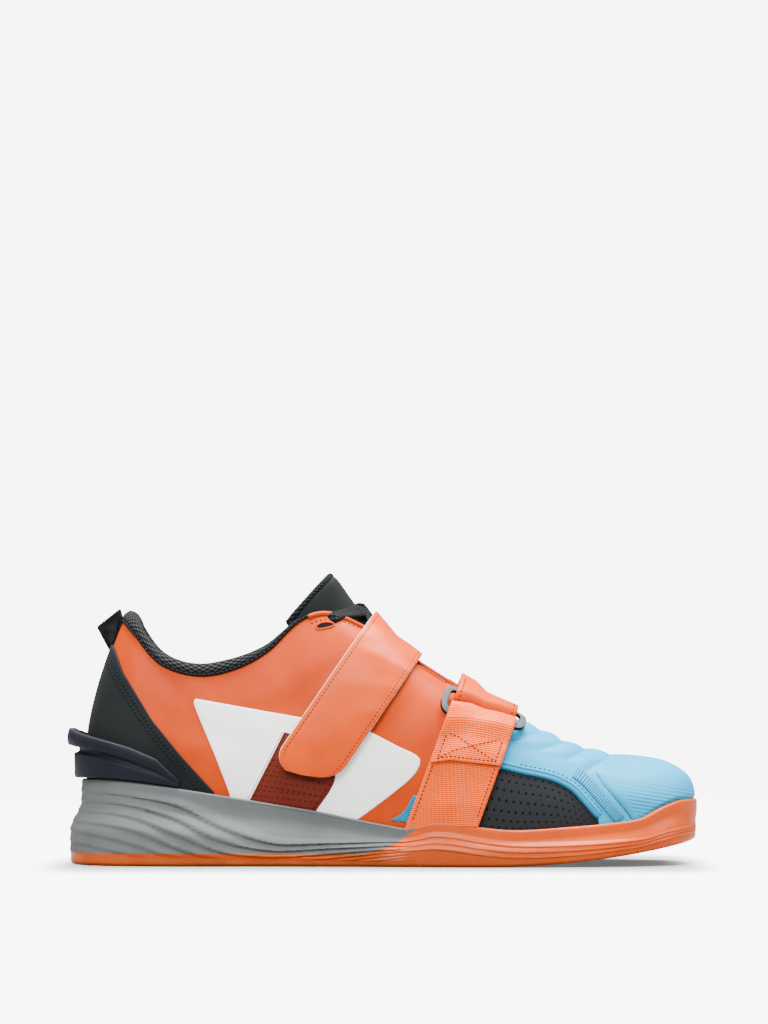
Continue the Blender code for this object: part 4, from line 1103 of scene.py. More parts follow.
def side_sheet(name, side, left, right, counts, height, finish, slot, *nodes, relief=None):
    """A panel on one side between two lines of (x, z) points that run upwards."""
    across, up = clustered(counts[0])[None, :], clustered(counts[1])
    left, right = (read_line(up, np.linspace(0, 1, len(line)), line) for line in (left, right))
    x = left[:, :1] * (1 - across) + right[:, :1] * across
    z = left[:, 1:] * (1 - across) + right[:, 1:] * across
    k, v = find_on_side(side, x, z)
    wide = np.linalg.norm(right - left, axis=1)[:, None]
    tall = np.maximum(np.hypot(np.ptp(x, axis=0), np.ptp(z, axis=0)), 1e-6)[None, :]
    inside = np.minimum(np.minimum(across, 1 - across) * wide,
                        np.minimum(up, 1 - up)[:, None] * tall)
    rise = cut_edge(inside, height)
    if relief is not None:
        rise = rise + relief(inside)
    dressed(loft(name, facing_out(side, lifted(k, v, rise))), finish, slot, *nodes)


def make_counter():
    """Dark overlay round the heel, bounded by its slanted front edge."""
    heights = COUNTER_FOOT + (COUNTER_TOP - COUNTER_FOOT) * clustered(70)
    spots = outline(COUNTER_EDGE[::-1])
    edge_x = np.interp(heights, spots[:, 1], spots[:, 0])
    reach, _ = find_on_side(-1, edge_x, heights)
    k = reach[:, None] * (2 * clustered(97) - 1)[None, :]
    v = level_at(k, heights[:, None])
    run = np.array([lengths_along(row) for row in skin(k, v)])
    inside = np.minimum(run, run[:, -1:] - run)
    inside = np.minimum(inside, (COUNTER_TOP - heights)[:, None])
    rows = lifted(k, v, cut_edge(inside, OVERLAY))
    dressed(loft("heel_counter", rows), "slate", "slate_leather", "heel_counter")
    curve = edge_curve(COUNTER_EDGE[:0:-1], 90)[3:-5]
    runs = [surface_run(side, inset_curve(curve, inset), OVERLAY + THREAD_LIFT)
            for side in (-1, 1) for inset in (0.0024, 0.0046)]
    stitches("heel_counter_stitches", runs, 0.0021, 0.0016, 0.0008, "thread_dark",
             "slate_leather")


def surface_run(side, curve, rise):
    """Points and normals of a line of (x, z) places on the worn skin."""
    k, v = find_on_side(side, curve[:, 0], curve[:, 1])
    return lifted(k, v, np.full(len(k), rise)), skin_normal(k, v)


def left_of(path):
    """Direction to the left of a flat line at each of its points."""
    along = unit(np.gradient(path, axis=0))
    return np.stack([-along[:, 1], along[:, 0]], axis=1)


def inset_curve(curve, inset):
    """A line of (x, z) places moved to its left."""
    return curve + left_of(curve) * inset


def bend(points, count=40):
    """A smooth line through a few (share, height share) places."""
    return edge_curve([Spot(*point) for point in points], count)


def make_quarter():
    """White colour block of the quarter, the strap's stitched base and the wing."""
    left = bend(((0.262, 0.300), (0.258, 0.350), (0.236, 0.520), (0.203, 0.760), (0.206, 0.780)))
    right = bend(((0.452, 0.200), (0.512, 0.335), (0.548, 0.430), (0.556, 0.500),
                  (0.520, 0.560), (0.470, 0.640)))
    for side, name in SIDES:
        side_sheet("quarter_block_" + name, side, left, right, (46, 40), 0.0004, "white",
                   "orange_leather")

    left = bend(((0.288, 0.290), (0.345, 0.625)))
    right = bend(((0.390, 0.235), (0.425, 0.410), (0.413, 0.570)))

    def pressed(inside):
        return -0.0005 * np.exp(-((inside - 0.0012) / 0.0004) ** 2)

    side_sheet("strap_anchor", -1, left, right, (44, 40), OVERLAY, "brick", "brick_leather",
               "strap_anchor", relief=pressed)
    runs = []
    ends = bend(((0.394, 0.268), (0.425, 0.410), (0.413, 0.570)), 11)
    steps = np.linspace(0.05, 0.95, 24)[:, None]
    for share in np.linspace(0.06, 0.62, 9):
        start = left[0] * (1 - share) + left[-1] * share
        curve = start * (1 - steps) + ends[int(share * 10)] * steps
        runs.append(surface_run(-1, curve, OVERLAY + 0.00005))
    stitches("strap_anchor_stitches", runs, 0.0026, 0.0016, 0.0006, "thread_brick",
             "brick_leather")

    edge = bend(((0.291, 0.318), (0.345, 0.625)))
    points, _ = surface_run(-1, inset_curve(edge, 0.0009), OVERLAY * 0.5)
    dressed(tube("strap_anchor_edge", points, 0.0004), "white", "brick_leather")

    left = bend(((0.508, 0.214), (0.528, 0.250), (0.545, 0.330)))
    right = bend(((0.575, 0.190), (0.590, 0.260), (0.600, 0.330)))
    for side, name in SIDES:
        side_sheet("vamp_wing_" + name, side, left, right, (20, 20), 0.0005, "band",
                   "blue_synthetic")


def panel_floor(k):
    """Level where the toe overlay begins: the panel's edge, or the sole's rim."""
    low = level_at(k, rim_height(share_of(skin(k, 0.15)[..., 0])) - 0.0012)
    high = np.full(k.shape, 0.999)
    base = low.copy()
    for _ in range(20):
        middle = (low + high) / 2
        point = skin(k, middle)
        under = point[..., 2] < edge_height(PANEL_EDGE, point[..., 0]) + 0.0004
        low, high = np.where(under, middle, low), np.where(under, high, middle)
    found = (low + high) / 2
    point = skin(k, found)
    front = point[..., 0] > place_x(PANEL_EDGE[-1].x)
    return np.where(front, base, np.maximum(base, found))


def make_toe():
    """Light blue vamp and toe cap in one piece over the toes."""
    back_z = np.linspace(0.545, 0.780, 5) * INSTEP_RISE
    back_x = np.interp(back_z, [0.0545, 0.064, 0.078], [place_x(s) for s in (0.636, 0.660, 0.694)])
    back_k, _ = find_on_side(-1, back_x, back_z)
    up = clustered(84)
    back_k = np.interp(up, np.linspace(0, 1, 5), back_k)
    across = np.linspace(0.0, 1.0, 200) ** 0.8
    half = back_k[:, None] + (ROWS - back_k[:, None]) * across[None, :]
    floor = panel_floor(half)
    even = np.array([np.convolve(np.pad(row, 15, mode="edge"), np.ones(31) / 31, mode="valid")
                     for row in floor])
    ease = smooth(up / 0.25)[:, None]
    floor = floor * (1 - ease) + even * ease
    v = floor + (1 - floor) * up[:, None]
    k = np.concatenate([half, LOOP - half[:, -2::-1]], axis=1)
    v = np.concatenate([v, v[:, -2::-1]], axis=1)
    base = skin(k, v)
    low, first, last = (np.linalg.norm(base - edge, axis=2)
                        for edge in (base[:1], base[:, :1], base[:, -1:]))
    inside = np.minimum(low, np.minimum(first, last))
    fade = np.where(base[..., 0] < place_x(0.84), smooth((low - 0.010) / 0.012), 1.0)
    relief = (toe_relief(base) * fade + toe_step(base)) * smooth(inside / 0.003)
    rise = cut_edge(inside, OVERLAY) + relief
    piece = loft("toe_overlay", base)
    lift(piece, base, rise)
    dressed(piece, "blue", "blue_synthetic", "toe_overlay")


def lift(piece, base, rise):
    """Moves a merged mesh's points out along its own normals by the rise of the nearest
    point of the rows that it was made from."""
    mesh = piece.data
    places, normals = np.empty((2, len(mesh.vertices), 3))
    mesh.vertices.foreach_get("co", places.reshape(-1))
    mesh.vertices.foreach_get("normal", normals.reshape(-1))
    base, rise = base.reshape(-1, 3), rise.reshape(-1)

    def cells(points):
        return [tuple(point) for point in np.round(points * 2e5).astype(int).tolist()]

    known = dict(zip(cells(base), rise))
    for i, cell in enumerate(cells(places)):
        height = known.get(cell)
        if height is None:
            height = rise[np.argmin(((base - places[i]) ** 2).sum(axis=1))]
        places[i] += normals[i] * height
    mesh.vertices.foreach_set("co", places.reshape(-1))
    mesh.update()


def make_panels():
    """Perforated panels at the forefoot with their piping cord, the painted shadow line below it, and
    ribbed band.
    """
    top = edge_curve(PANEL_EDGE, 60)
    low_x = np.linspace(place_x(0.600), place_x(0.833), 60)
    low = np.stack([low_x, rim_height(share_of(low_x)) - 0.001], axis=1)
    up = clustered(30)[:, None, None]
    panel = low[None] * (1 - up) + top[None] * up

    ahead = unit(top[-1:] - top[-2:-1])
    longer = np.concatenate([top[42:], top[-1:] + ahead * np.linspace(0.001, 0.007, 7)[:, None]])
    inner, outer = inset_curve(longer, 0.0048), inset_curve(longer, 0.0100)
    steps = clustered(12)[:, None, None]
    band = inner[None] * (1 - steps) + outer[None] * steps
    foot = rim_height(share_of(band[..., 0])) - 0.0006
    sides = np.minimum(steps[..., 0], 1 - steps[..., 0]) * 0.0052
    places = np.arange(len(longer))
    ends = np.minimum(places, places[::-1]) * 0.0006
    swell = rolled(np.minimum(sides, ends[None, :]), 0.0006, 0.0005)

    curve = edge_curve(TOE_CAP_EDGE, 40)[2:]
    for side, name in SIDES:
        k, v = find_on_side(side, panel[..., 0], panel[..., 1])
        points = facing_out(side, lifted(k, v, np.full(k.shape, OVERLAY / 2)))
        dressed(loft("side_panel_" + name, points), "perforated", "perforated_black",
                "side_panel_" + name)
        # a dark blue tube along the edge, under the light cord, is its painted shadow line
        edge, _ = surface_run(side, inset_curve(top[:-1], 0.0004), OVERLAY * 0.75)
        dressed(tube("panel_piping_" + name, edge, 0.00095), "blue_shadow_line", "blue_synthetic")
        edge, _ = surface_run(side, inset_curve(top[:-1], 0.0024), OVERLAY)
        dressed(tube("panel_cord_" + name, edge, 0.0006), "blue", "blue_synthetic")
        run = surface_run(side, inset_curve(top[24:-2], 0.0036), OVERLAY + THREAD_LIFT)
        stitches("panel_stitches_" + name, [run], 0.0022, 0.0013, 0.0005, "thread_blue",
                 "blue_synthetic")
        k, v = find_on_side(side, band[..., 0], np.maximum(band[..., 1], foot))
        points = facing_out(side, lifted(k, v, OVERLAY + THREAD_LIFT + swell))
        dressed(loft("toe_band_" + name, points), "band", "blue_synthetic")
        k, v = find_on_side(side, curve[:, 0], curve[:, 1])
        run = lifted(k, v, OVERLAY - 0.0002 + toe_relief(skin(k, v))), skin_normal(k, v)
        stitches("toe_cap_seam_" + name, [run], 0.0013, 0.0009, 0.0004, "thread_dark",
                 "blue_synthetic")


# The sole


def groove_profile(t, lines, depth):
    """Terraced ribs between neighbouring lines: each swells downwards, then tucks in."""
    relief = np.zeros(t.shape)
    for upper, lower in zip(lines, lines[1:]):
        size = np.maximum(upper - lower, 1e-3)
        p = (t - lower) / size
        inside = (p > 0) & (p <= 1) & (size > 0.012)
        p = np.clip(p, 0, 1)
        swell = (1 - p) ** 0.9 * smooth(p / 0.22)
        relief += np.where(inside, swell * depth * np.minimum(1.0, size / 0.11), 0)
    return relief


def outward(k):
    """Outward directions in plan at row numbers k."""
    return unit(around(plan_normals(FEATHER), k))


def shrunk(loop, share):
    """A loop of points drawn in towards the shoe's middle line."""
    mirrored = (-np.arange(len(loop))) % len(loop)
    middle = (loop + loop[mirrored]) / 2
    return middle + (loop - middle) * share


def sole_rings(count=64):
    """Rings of the whole sole from its underside round the wall, rim and cup."""
    ks = np.arange(0, LOOP, ROW_STEP)
    feet, normals = around(FEATHER, ks), outward(ks)
    shares = share_of(feet[:, 0])
    rims = rim_height(shares)
    walls = skin(ks, level_at(ks, rims))
    flare = SOLE_FLARE * table(SOLE_ROWS, "flare", shares)
    wide = feet + normals * (flare + RIM_WIDTH)[:, None]
    narrow = walls + normals * (GAP + RIM_WIDTH)
    floor = ground(share_of(wide[:, 0]))
    foam = 1.0 - smooth((shares - 0.46) / 0.12)

    def ring(plan, heights):
        heights = np.broadcast_to(heights, (len(ks),))
        return np.stack([plan[:, 0], plan[:, 1], heights], axis=1)

    bottom = wide - normals * SOLE_EDGE
    rings = [ring(shrunk(bottom, s), floor) for s in (0.0, 0.25, 0.5, 0.75, 0.93, 0.985)]
    rings.append(ring(bottom, floor))
    for angle in (25, 50, 75):
        turn = math.radians(angle)
        rings.append(ring(bottom + normals * SOLE_EDGE * math.sin(turn),
                          floor + SOLE_EDGE * (1 - math.cos(turn))))
    foam_lines = [table(FOAM_LINES, name, shares) for name in FoamRow._fields[1:]]
    gum_lines = [table(GUM_LINES, name, shares) for name in GumRow._fields[1:]]
    start = SOLE_EDGE / (rims - floor)
    for step in np.linspace(0.0, 1.0, count):
        height = start + (0.955 - start) * step
        lean = smooth((height - 0.40) / 0.35)[:, None]
        plan = wide * (1 - lean) + narrow * lean
        push = groove_profile(height, foam_lines, FOAM_RIBS) * foam
        push = push * (0.3 + 0.7 * smooth((shares - 0.04) / 0.14))
        push = push + groove_profile(height, gum_lines, GUM_RIBS) * (1 - foam)
        push = push * smooth((height - 0.10) / 0.08) * smooth((0.96 - height) / 0.06)
        hollow = 0.0010 * np.exp(-((height - 0.80) / 0.16) ** 2) * smooth((shares - 0.15) / 0.2)
        rings.append(ring(plan + normals * (push - hollow * foam)[:, None],
                          floor + (rims - floor) * height))
    for angle in (10, 35, 60, 85):
        turn = math.radians(angle)
        rings.append(ring(narrow - normals * RIM_EDGE * (1 - math.cos(turn)),
                          rims - RIM_EDGE * (1 - math.sin(turn))))
    rings.append(ring(walls + normals * GAP, rims))
    beds = footbed(shares)
    middles = (rims + beds) / 2
    halfway = skin(ks, level_at(ks, middles))
    rings.append(ring(halfway + normals * GAP, middles))
    inner = feet + normals * GAP
    rings += [ring(shrunk(inner, s), beds) for s in (1.0, 0.8, 0.4, 0.0)]
    return np.array(rings)


def prism(name, outline, low_y, high_y):
    """Outline of (x, z) places, run along Y."""
    outline = np.asarray(outline, float)
    rows = [np.stack([outline[:, 0], np.full(len(outline), y), outline[:, 1]], axis=1)
            for y in (low_y, high_y)]
    return loft(name, rows, closed=True, fill=True)


def make_sole():
    """Foam wedge and gum cup, parted along the joint that rises at the ball."""
    rings = sole_rings()
    shares = [row.x for row in SOLE_ROWS if 0.4 <= row.x <= 0.600]
    joint = [(place_x(s), float(table(SOLE_ROWS, "joint", s)) * GUM_THICKNESS) for s in shares]
    joint = edge_curve([Spot(share_of(x), z / INSTEP_RISE) for x, z in joint], 60)
    top = HEEL_STACK + INSTEP_RISE
    outline = np.concatenate([[(place_x(-0.1), GUM_THICKNESS)], joint,
                              [(joint[-1][0], top), (place_x(-0.1), top)]])
    space = prism("foam_space", outline, -BALL_WIDTH, BALL_WIDTH)
    for name, operation, finish, slot in (("outsole", "DIFFERENCE", "gum", "gum_rubber"),
                                          ("midsole", "INTERSECT", "foam", "grey_foam")):
        piece = loft(name, rings, closed=True, fill=True)
        apply_modifier(piece, "BOOLEAN", operation=operation, object=space, solver="EXACT")
        sharpen(piece, 50)
        dressed(piece, finish, slot, name)
    bpy.data.objects.remove(space)


def make_insole():
    """Loose sock on the footbed, inside the upper's wall."""
    ks = np.arange(0, LOOP, 2 * ROW_STEP)
    feet, normals = around(FEATHER, ks), outward(ks)
    inset = UPPER_WALL + 3 * GAP
    low = feet - normals * inset
    wall = skin(ks, level_at(ks, feet[:, 2] + INSOLE_THICKNESS)) - normals * inset
    high = np.stack([wall[:, 0], wall[:, 1], low[:, 2] + INSOLE_THICKNESS], axis=1)
    rows = [shrunk(low, share) for share in (0.0, 0.5, 0.9, 0.99)]
    rows += [low, high, shrunk(high, 0.985) + (0.0, 0.0, 0.0003)]
    rows += [shrunk(high, share) for share in (0.96, 0.5, 0.0)]
    dressed(loft("insole", rows, closed=True, fill=True), "knit", "black_knit", "insole")


# Padding, tongue, clip and tab


def spline_loop(points, steps):
    """Closed Catmull-Rom line through sections' points: (sections, points, 3)."""
    count = points.shape[1]
    t = np.arange(0, count, 1.0 / steps)
    i = np.floor(t).astype(int)
    f = (t - i)[None, :, None]
    return catmull_rom(*(points[:, (i + j) % count] for j in (-1, 0, 1, 2)), f)


def round_corners(points, radius, steps=4):
    """Loops of points with their corners rounded: (sections, points, 3)."""
    before, after = np.roll(points, 1, axis=1), np.roll(points, -1, axis=1)
    made = []
    for other in (before, after):
        reach = other - points
        length = np.maximum(np.linalg.norm(reach, axis=2, keepdims=True), 1e-9)
        made.append(points + reach * np.minimum(radius / length, 0.45))
    rows = []
    for t in np.linspace(0.0, 1.0, steps):
        rows.append(made[0] * (1 - t) ** 2 + 2 * points * t * (1 - t) + made[1] * t * t)
    return np.stack(rows, axis=2).reshape(points.shape[0], -1, points.shape[2])


def make_collar():
    """Padded knit roll that wraps the top edge and runs down inside the upper."""
    reach = 8.0
    k = np.linspace(-reach, reach, 161)
    full = (0.28 + 0.72 * (1 - smooth((np.abs(k) - 4.5) / (reach - 5.0))))[:, None]
    top = skin(k, 1.0)
    rise = unit(top - skin(k, 0.97))
    out = skin_normal(k, 0.98)
    pad, proud = COLLAR_PAD * full, COLLAR_RISE * full
    inner = UPPER_WALL + 3 * GAP

    def inside(v, depth):
        level = 1.0 - (1.0 - v) * full[:, 0]
        return skin(k, level) - skin_normal(k, level) * depth

    sections = np.stack([
        top + rise * 2 * GAP + out * 0.0002,
        top + rise * proud * 0.45 + out * 0.0010,
        top + rise * proud * 0.90 - out * 0.0006,
        top + rise * proud - out * pad * 0.40,
        top + rise * proud * 0.65 - out * pad * 0.85,
        top - out * (pad + inner * 0.5),
        inside(0.88, pad + inner * 0.6),
        inside(0.74, pad * 0.6 + inner),
        inside(0.66, inner + 0.0008),
        inside(0.68, inner),
        inside(0.84, inner),
        top + rise * 2 * GAP - out * inner,
    ], axis=1)
    piece = loft("collar_padding", spline_loop(sections, 5), closed=True, fill=True)
    dressed(piece, "knit", "black_knit", "collar_padding")
    seam = top + rise * GAP + out * 0.0004
    dressed(tube("collar_seam", seam[4:-4], 0.0007), "lace", "black_knit")


def tree_of(name):
    """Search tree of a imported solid."""
    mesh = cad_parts[name].data
    return BVHTree.FromPolygons([vert.co for vert in mesh.vertices],
                                [face.vertices for face in mesh.polygons])


def tucked(point, axis, trees, margin):
    """Pulls a point in towards an axis point until it lies inside the trees."""
    path = Vector(point) - Vector(axis)
    reach = path.length
    direction = path.normalized()
    for tree in trees:
        hit = tree.ray_cast(Vector(axis), direction, reach + margin)
        if hit[0] is not None:
            reach = min(reach, hit[3] - margin)
    return np.array(Vector(axis) + direction * reach)


def make_tongue(trees):
    """Arched padded sheet with a bound edge, from under the vamp up past the collar."""
    xs = np.linspace(TONGUE_ROWS[0].x, TONGUE_ROWS[-1].x, TONGUE_STATIONS)
    line = np.stack([place_x(xs), centre_y(xs), table(TONGUE_ROWS, "z", xs) * INSTEP_RISE], 1)
    along = unit(np.gradient(line, axis=0))
    stations = np.arange(TONGUE_STATIONS)
    sections = []
    for i in stations:
        face, back = [], []
        for angle in TONGUE_ARCH * np.linspace(-1.0, 1.0, TONGUE_COLUMNS):
            round_off = TONGUE_CORNER * (1.0 - math.cos(angle))
            place = i + round_off * max(0.0, 1.0 - i / TONGUE_FADE)
            x = np.interp(place, stations, xs)
            spot = read_line([place], stations, line)[0]
            way = unit(read_line([place], stations, along)[0])
            out = np.array([-way[2], 0.0, way[0]])
            half = float(table(TONGUE_ROWS, "half", x)) * BALL_WIDTH
            drop = float(table(TONGUE_ROWS, "drop", x)) * (1.0 + 0.4 * max(0.0, 1.0 - i / 20.0))
            axis = spot - out * half * 1.3
            side = np.array([0.0, half * math.sin(angle), 0.0])
            sag = out * drop * half * (1.0 - math.cos(angle))
            point = tucked(spot + side - sag, axis, trees, 3 * GAP)
            inward = (axis - point) / np.linalg.norm(axis - point)
            depth = TONGUE_THICKNESS * (0.45 + 0.55 * math.cos(angle))
            if i < 3:
                depth *= (0.55, 0.8, 0.95)[i]
                point = point + inward * (0.0012, 0.0004, 0.0001)[i]
            face.append(point)
            back.append(point + inward * depth)
        sections.append(face + back[::-1])
    sections = np.array(sections)
    piece = loft("tongue", sections, closed=True, fill=True)
    dressed(piece, "slate", "slate_leather", "tongue")
    face = sections[:, :TONGUE_COLUMNS]
    middle = (face + sections[:, :TONGUE_COLUMNS - 1:-1]) / 2
    edge = np.concatenate([middle[30::-1, 0], middle[0, 1:-1], middle[:31, -1]])
    dressed(tube("tongue_binding", edge, 0.0017), "lace", "black_knit")
    runs = []
    for column in (3, 29):
        points = face[2:34, column]
        out = unit(points - middle[2:34, 16])
        runs.append((points + out * 0.0001, out))
    stitches("tongue_stitches", runs, 0.0026, 0.0017, 0.0005, "thread_dark", "slate_leather")


def make_clip():
    """Moulded clip on the heel, its ring standing off behind."""
    seat = 3 * GAP + OVERLAY
    reach = CLIP_ROWS[-1].k
    k = np.linspace(-reach, reach, 85)
    size = {name: np.interp(np.abs(k), [row.k for row in CLIP_ROWS],
                            [getattr(row, name) for row in CLIP_ROWS])
            for name in ClipRow._fields[1:]}
    normals = outward(k)
    foot = rim_height(share_of(skin(k, 0.0)[:, 0])) + 2 * GAP

    def at(height, offset):
        z = foot + np.asarray(height) * CLIP_HEIGHT
        return skin(k, level_at(k, z)) + normals * (seat + offset * CLIP_THICKNESS)[:, None]

    zero = np.zeros(len(k))
    low, high = size["ring_low"], size["ring_top"]
    sections = np.stack([
        at(zero, zero), at(zero, size["body"]), at(size["body_top"], size["body"] * 0.95),
        at(size["body_top"] + 0.03, size["web"]), at(low - 0.02, size["web"]),
        at(low, size["ring_out"] * 0.9), at((low + high) / 2, size["ring_out"]),
        at(high, size["ring_out"] * 0.95), at(high, size["ring_in"]),
        at(low + 0.05, size["ring_in"]), at(low + 0.02, zero),
    ], axis=1)
    piece = loft("heel_clip", round_corners(sections, 0.0009), closed=True, fill=True)
    sharpen(piece, 60)
    dressed(piece, "plastic", "slate_plastic", "heel_clip")


def make_tab():
    """Folded tape that stands out of the heel seam."""
    places = []
    for z in np.array(TAB_ROOT) * INSTEP_RISE:
        clear = TAB_SUNK if z > TAB_STEP * INSTEP_RISE else OVERLAY / 2
        places.append((float(skin(0.0, level_at(0.0, z))[0]) - clear, 0.0, z))
    top = (places[-1][0] - 0.0020, 0.0, places[-1][2] + 0.0072)
    edge = (top[0] - PULL_TAB_DEPTH * math.cos(PULL_TAB_TILT), 0.0,
            top[2] - PULL_TAB_DEPTH * math.sin(PULL_TAB_TILT))
    line = round_corners(np.array(places + [top, edge])[None], 0.0012)[0]
    centre = line.mean(axis=0)
    thick = PULL_TAB_THICKNESS / 2
    rows = [centre + (line - centre) * share + np.array([0.0, y * thick, 0.0])
            for share, y in ((0.0, -1), (0.5, -1), (0.9, -1), (0.97, -0.8), (1.0, -0.4), (1.0, 0.4),
                             (0.97, 0.8), (0.9, 1), (0.5, 1), (0.0, 1))]
    piece = loft("pull_tab", rows, closed=True)
    sharpen(piece, 40)
    dressed(piece, "lace", "black_knit", "pull_tab")


# Straps, ring, webbing and laces


class Wrap:
    """A taut band's path over the shoe: lines side by side, each a convex hull."""

    def __init__(self, origin, lean, across, trees, half_width, lines, foot, reach):
        self.out = Vector(lean).normalized()
        self.cross = Vector(across).normalized()
        self.side = self.cross.cross(self.out).normalized()
        self.origin = Vector(origin)
        self.offsets = [half_width * (2 * j / (lines - 1) - 1) for j in range(lines)]
        self.paths, self.lengths = [], []
        spacing = half_width / (lines - 1)
        for offset in self.offsets:
            centre = self.origin + self.side * offset
            spread = [centre + self.side * spacing * t / 3 for t in range(-3, 4)]
            points = []
            for step in range(-int(reach / SWEEP), int(reach / SWEEP) + 1):
                angle = math.radians(SWEEP * step)
                direction = self.out * math.cos(angle) + self.cross * math.sin(angle)
                radius = self.farthest(spread, direction, trees)
                spot = centre + direction * radius
                if radius > 0.0 and spot.z > foot(spot):
                    points.append((radius * math.sin(angle), radius * math.cos(angle)))
            path, length = self.even(self.hull(points))
            self.paths.append(path)
            self.lengths.append(length)
        self.paths = np.array(self.paths)
        self.length = self.lengths[lines // 2]

    @staticmethod
    def farthest(centres, direction, trees):
        """How far out the shoe reaches in a direction from any of the centres."""
        radius = 0.0
        for centre in centres:
            start = centre + direction * RAY
            for tree in trees:
                hit = tree.ray_cast(start, -direction, RAY)
                if hit[0] is not None:
                    radius = max(radius, RAY - hit[3])
        return radius

    @staticmethod
    def hull(points):
        """The outer side of a fan of points, pulled taut."""
        chain = [points[0]]
        for point in points[1:]:
            while len(chain) > 1:
                (ax, ay), (bx, by) = chain[-2], chain[-1]
                if (bx - ax) * (point[1] - ay) - (by - ay) * (point[0] - ax) >= 0:
                    chain.pop()
                else:
                    break
            chain.append(point)
        return np.array(chain)

    @staticmethod
    def even(chain, count=141):
        """The hull's points at even steps of arc length."""
        steps = lengths_along(chain)
        return read_line(np.linspace(0.0, steps[-1], count), steps, chain), steps[-1]

    def reading(self, line, u):
        """Points of a line's path at shares u of its length."""
        place = u * (self.paths.shape[1] - 1)
        i = np.clip(np.floor(place), 0, self.paths.shape[1] - 2).astype(int)
        t = (place - i)[..., None]
        return self.paths[line, i] * (1 - t) + self.paths[line, i + 1] * t

    def at(self, side, u, height):
        """Points at side offsets, shares u of the path and heights above it."""
        side, u, height = np.broadcast_arrays(*(np.asarray(value, float)
                                                for value in (side, u, height)))
        place = np.interp(side, self.offsets, range(len(self.offsets)))
        j = np.minimum(place.astype(int), len(self.offsets) - 2)
        blend = (place - j)[..., None]
        spot, ahead, behind = (
            self.reading(j, place) * (1 - blend) + self.reading(j + 1, place) * blend
            for place in (u, u + 0.04, u - 0.04))
        slope = ahead - behind
        spot = spot + unit(np.stack([-slope[..., 1], slope[..., 0]], axis=-1)) * height[..., None]
        origin, sideways, cross, out = (np.array(axis) for axis in (
            self.origin, self.side, self.cross, self.out))
        return origin + sideways * side[..., None] + cross * spot[..., :1] + out * spot[..., 1:]

    def share_at_height(self, z):
        """Share of the middle line's path at which it passes height z."""
        shares = np.arange(101) / 200
        return float(shares[np.argmin(np.abs(self.at(0.0, shares, 0.0)[:, 2] - z))])


def strap_foot(spot):
    """Height at which a strap ends, above the sole's rim."""
    return float(rim_height(share_of(spot.x))) + STRAP_FOOT


def strap_loops(wrap, path, halves, thickness, face, across=19):
    """Closed sections of a band: a shaped upper face, rounded edges, a flat back."""
    normal = left_of(path)
    share = 2 * clustered(across) - 1
    side = halves[:, None] * share[None, :]
    inside = halves[:, None] - np.abs(side)
    up = rolled(inside, thickness / 2, thickness * 0.45) + face(side, inside)
    down = -rolled(inside, thickness / 2, thickness * 0.45)
    sides = np.concatenate([side, side[:, ::-1]], axis=1)
    heights = np.concatenate([up, down[:, ::-1]], axis=1)
    flat = path[:, None, :] + normal[:, None, :] * heights[..., None]
    return wrap.at(sides, flat[..., 0] / wrap.length, flat[..., 1])


def band_piece(name, loops, finish, slot, back=None):
    """Band through closed sections, in the place of the node of its name; its back and
    its outermost strips take the second finish."""
    piece = loft(name, loops, closed=True, fill=True, merge=False)
    if back:
        width = loops.shape[1]
        half = width // 2
        mesh = piece.data
        index = np.zeros(len(mesh.polygons), dtype=np.int32)
        grid = np.arange((loops.shape[0] - 1) * width).reshape(-1, width)
        index[grid[:, half - 2:].reshape(-1)] = 1
        index[grid[:, 0]] = 1
        mesh.polygons.foreach_set("material_index", index)
    dressed(piece, finish, slot, name, inner=back)
    mend(piece, merge=True, outwards=True)
    sharpen(piece, 60)


def path_run(wrap, side, path, height):
    """Points and normals of a line along a band's face."""
    spots = [path + left_of(path) * step for step in (height, height + 0.001)]
    low, high = (wrap.at(side, spot[:, 0] / wrap.length, spot[:, 1]) for spot in spots)
    return low, unit(high - low)


def trough(inside, place, width):
    """A pressed line at a distance inside an edge, one deep at its middle."""
    return np.exp(-((inside - place) / width) ** 2)


def strap_face(side, inside):
    """Upper face of a leather strap: crowned, pressed down along its stitching."""
    half = np.maximum(np.abs(side) + inside, 1e-6)
    return (0.00025 * (1 - (side / half) ** 2) - 0.00035 * trough(inside, STITCH_INSET, 0.00032)
            - 0.00010 * trough(inside, 0.0052, 0.00022)
            - 0.00010 * trough(inside, 0.0060, 0.00022))


def woven_face(side, inside):
    """Upper face of the webbing: a raised selvedge with a groove beside it."""
    return 0.00022 * trough(inside, 0.0011, 0.0006) - 0.00018 * trough(inside, 0.0023, 0.0004)


def lace_face(side, inside):
    """Upper face of the lace: slightly crowned."""
    return 0.00015 * (1 - (side / (LACE_WIDTH / 2)) ** 2)


def line_on(wrap, corners, count, height, rise=0.001):
    """Points and normals of a line through (side, distance) corners, on a taut path."""
    corners = np.array(corners, float)
    steps = lengths_along(corners)
    side, far = read_line(np.linspace(0.0, steps[-1], count), steps, corners).T
    low, high = (wrap.at(side, far / wrap.length, level) for level in (height, height + rise))
    return low, unit(high - low)


def rounded_end(distance, half, radius):
    """Half width of a strap at a distance from its rounded end."""
    curve = radius ** 2 - (radius - np.minimum(distance, radius)) ** 2
    return half - radius + np.sqrt(np.maximum(0.0, curve))


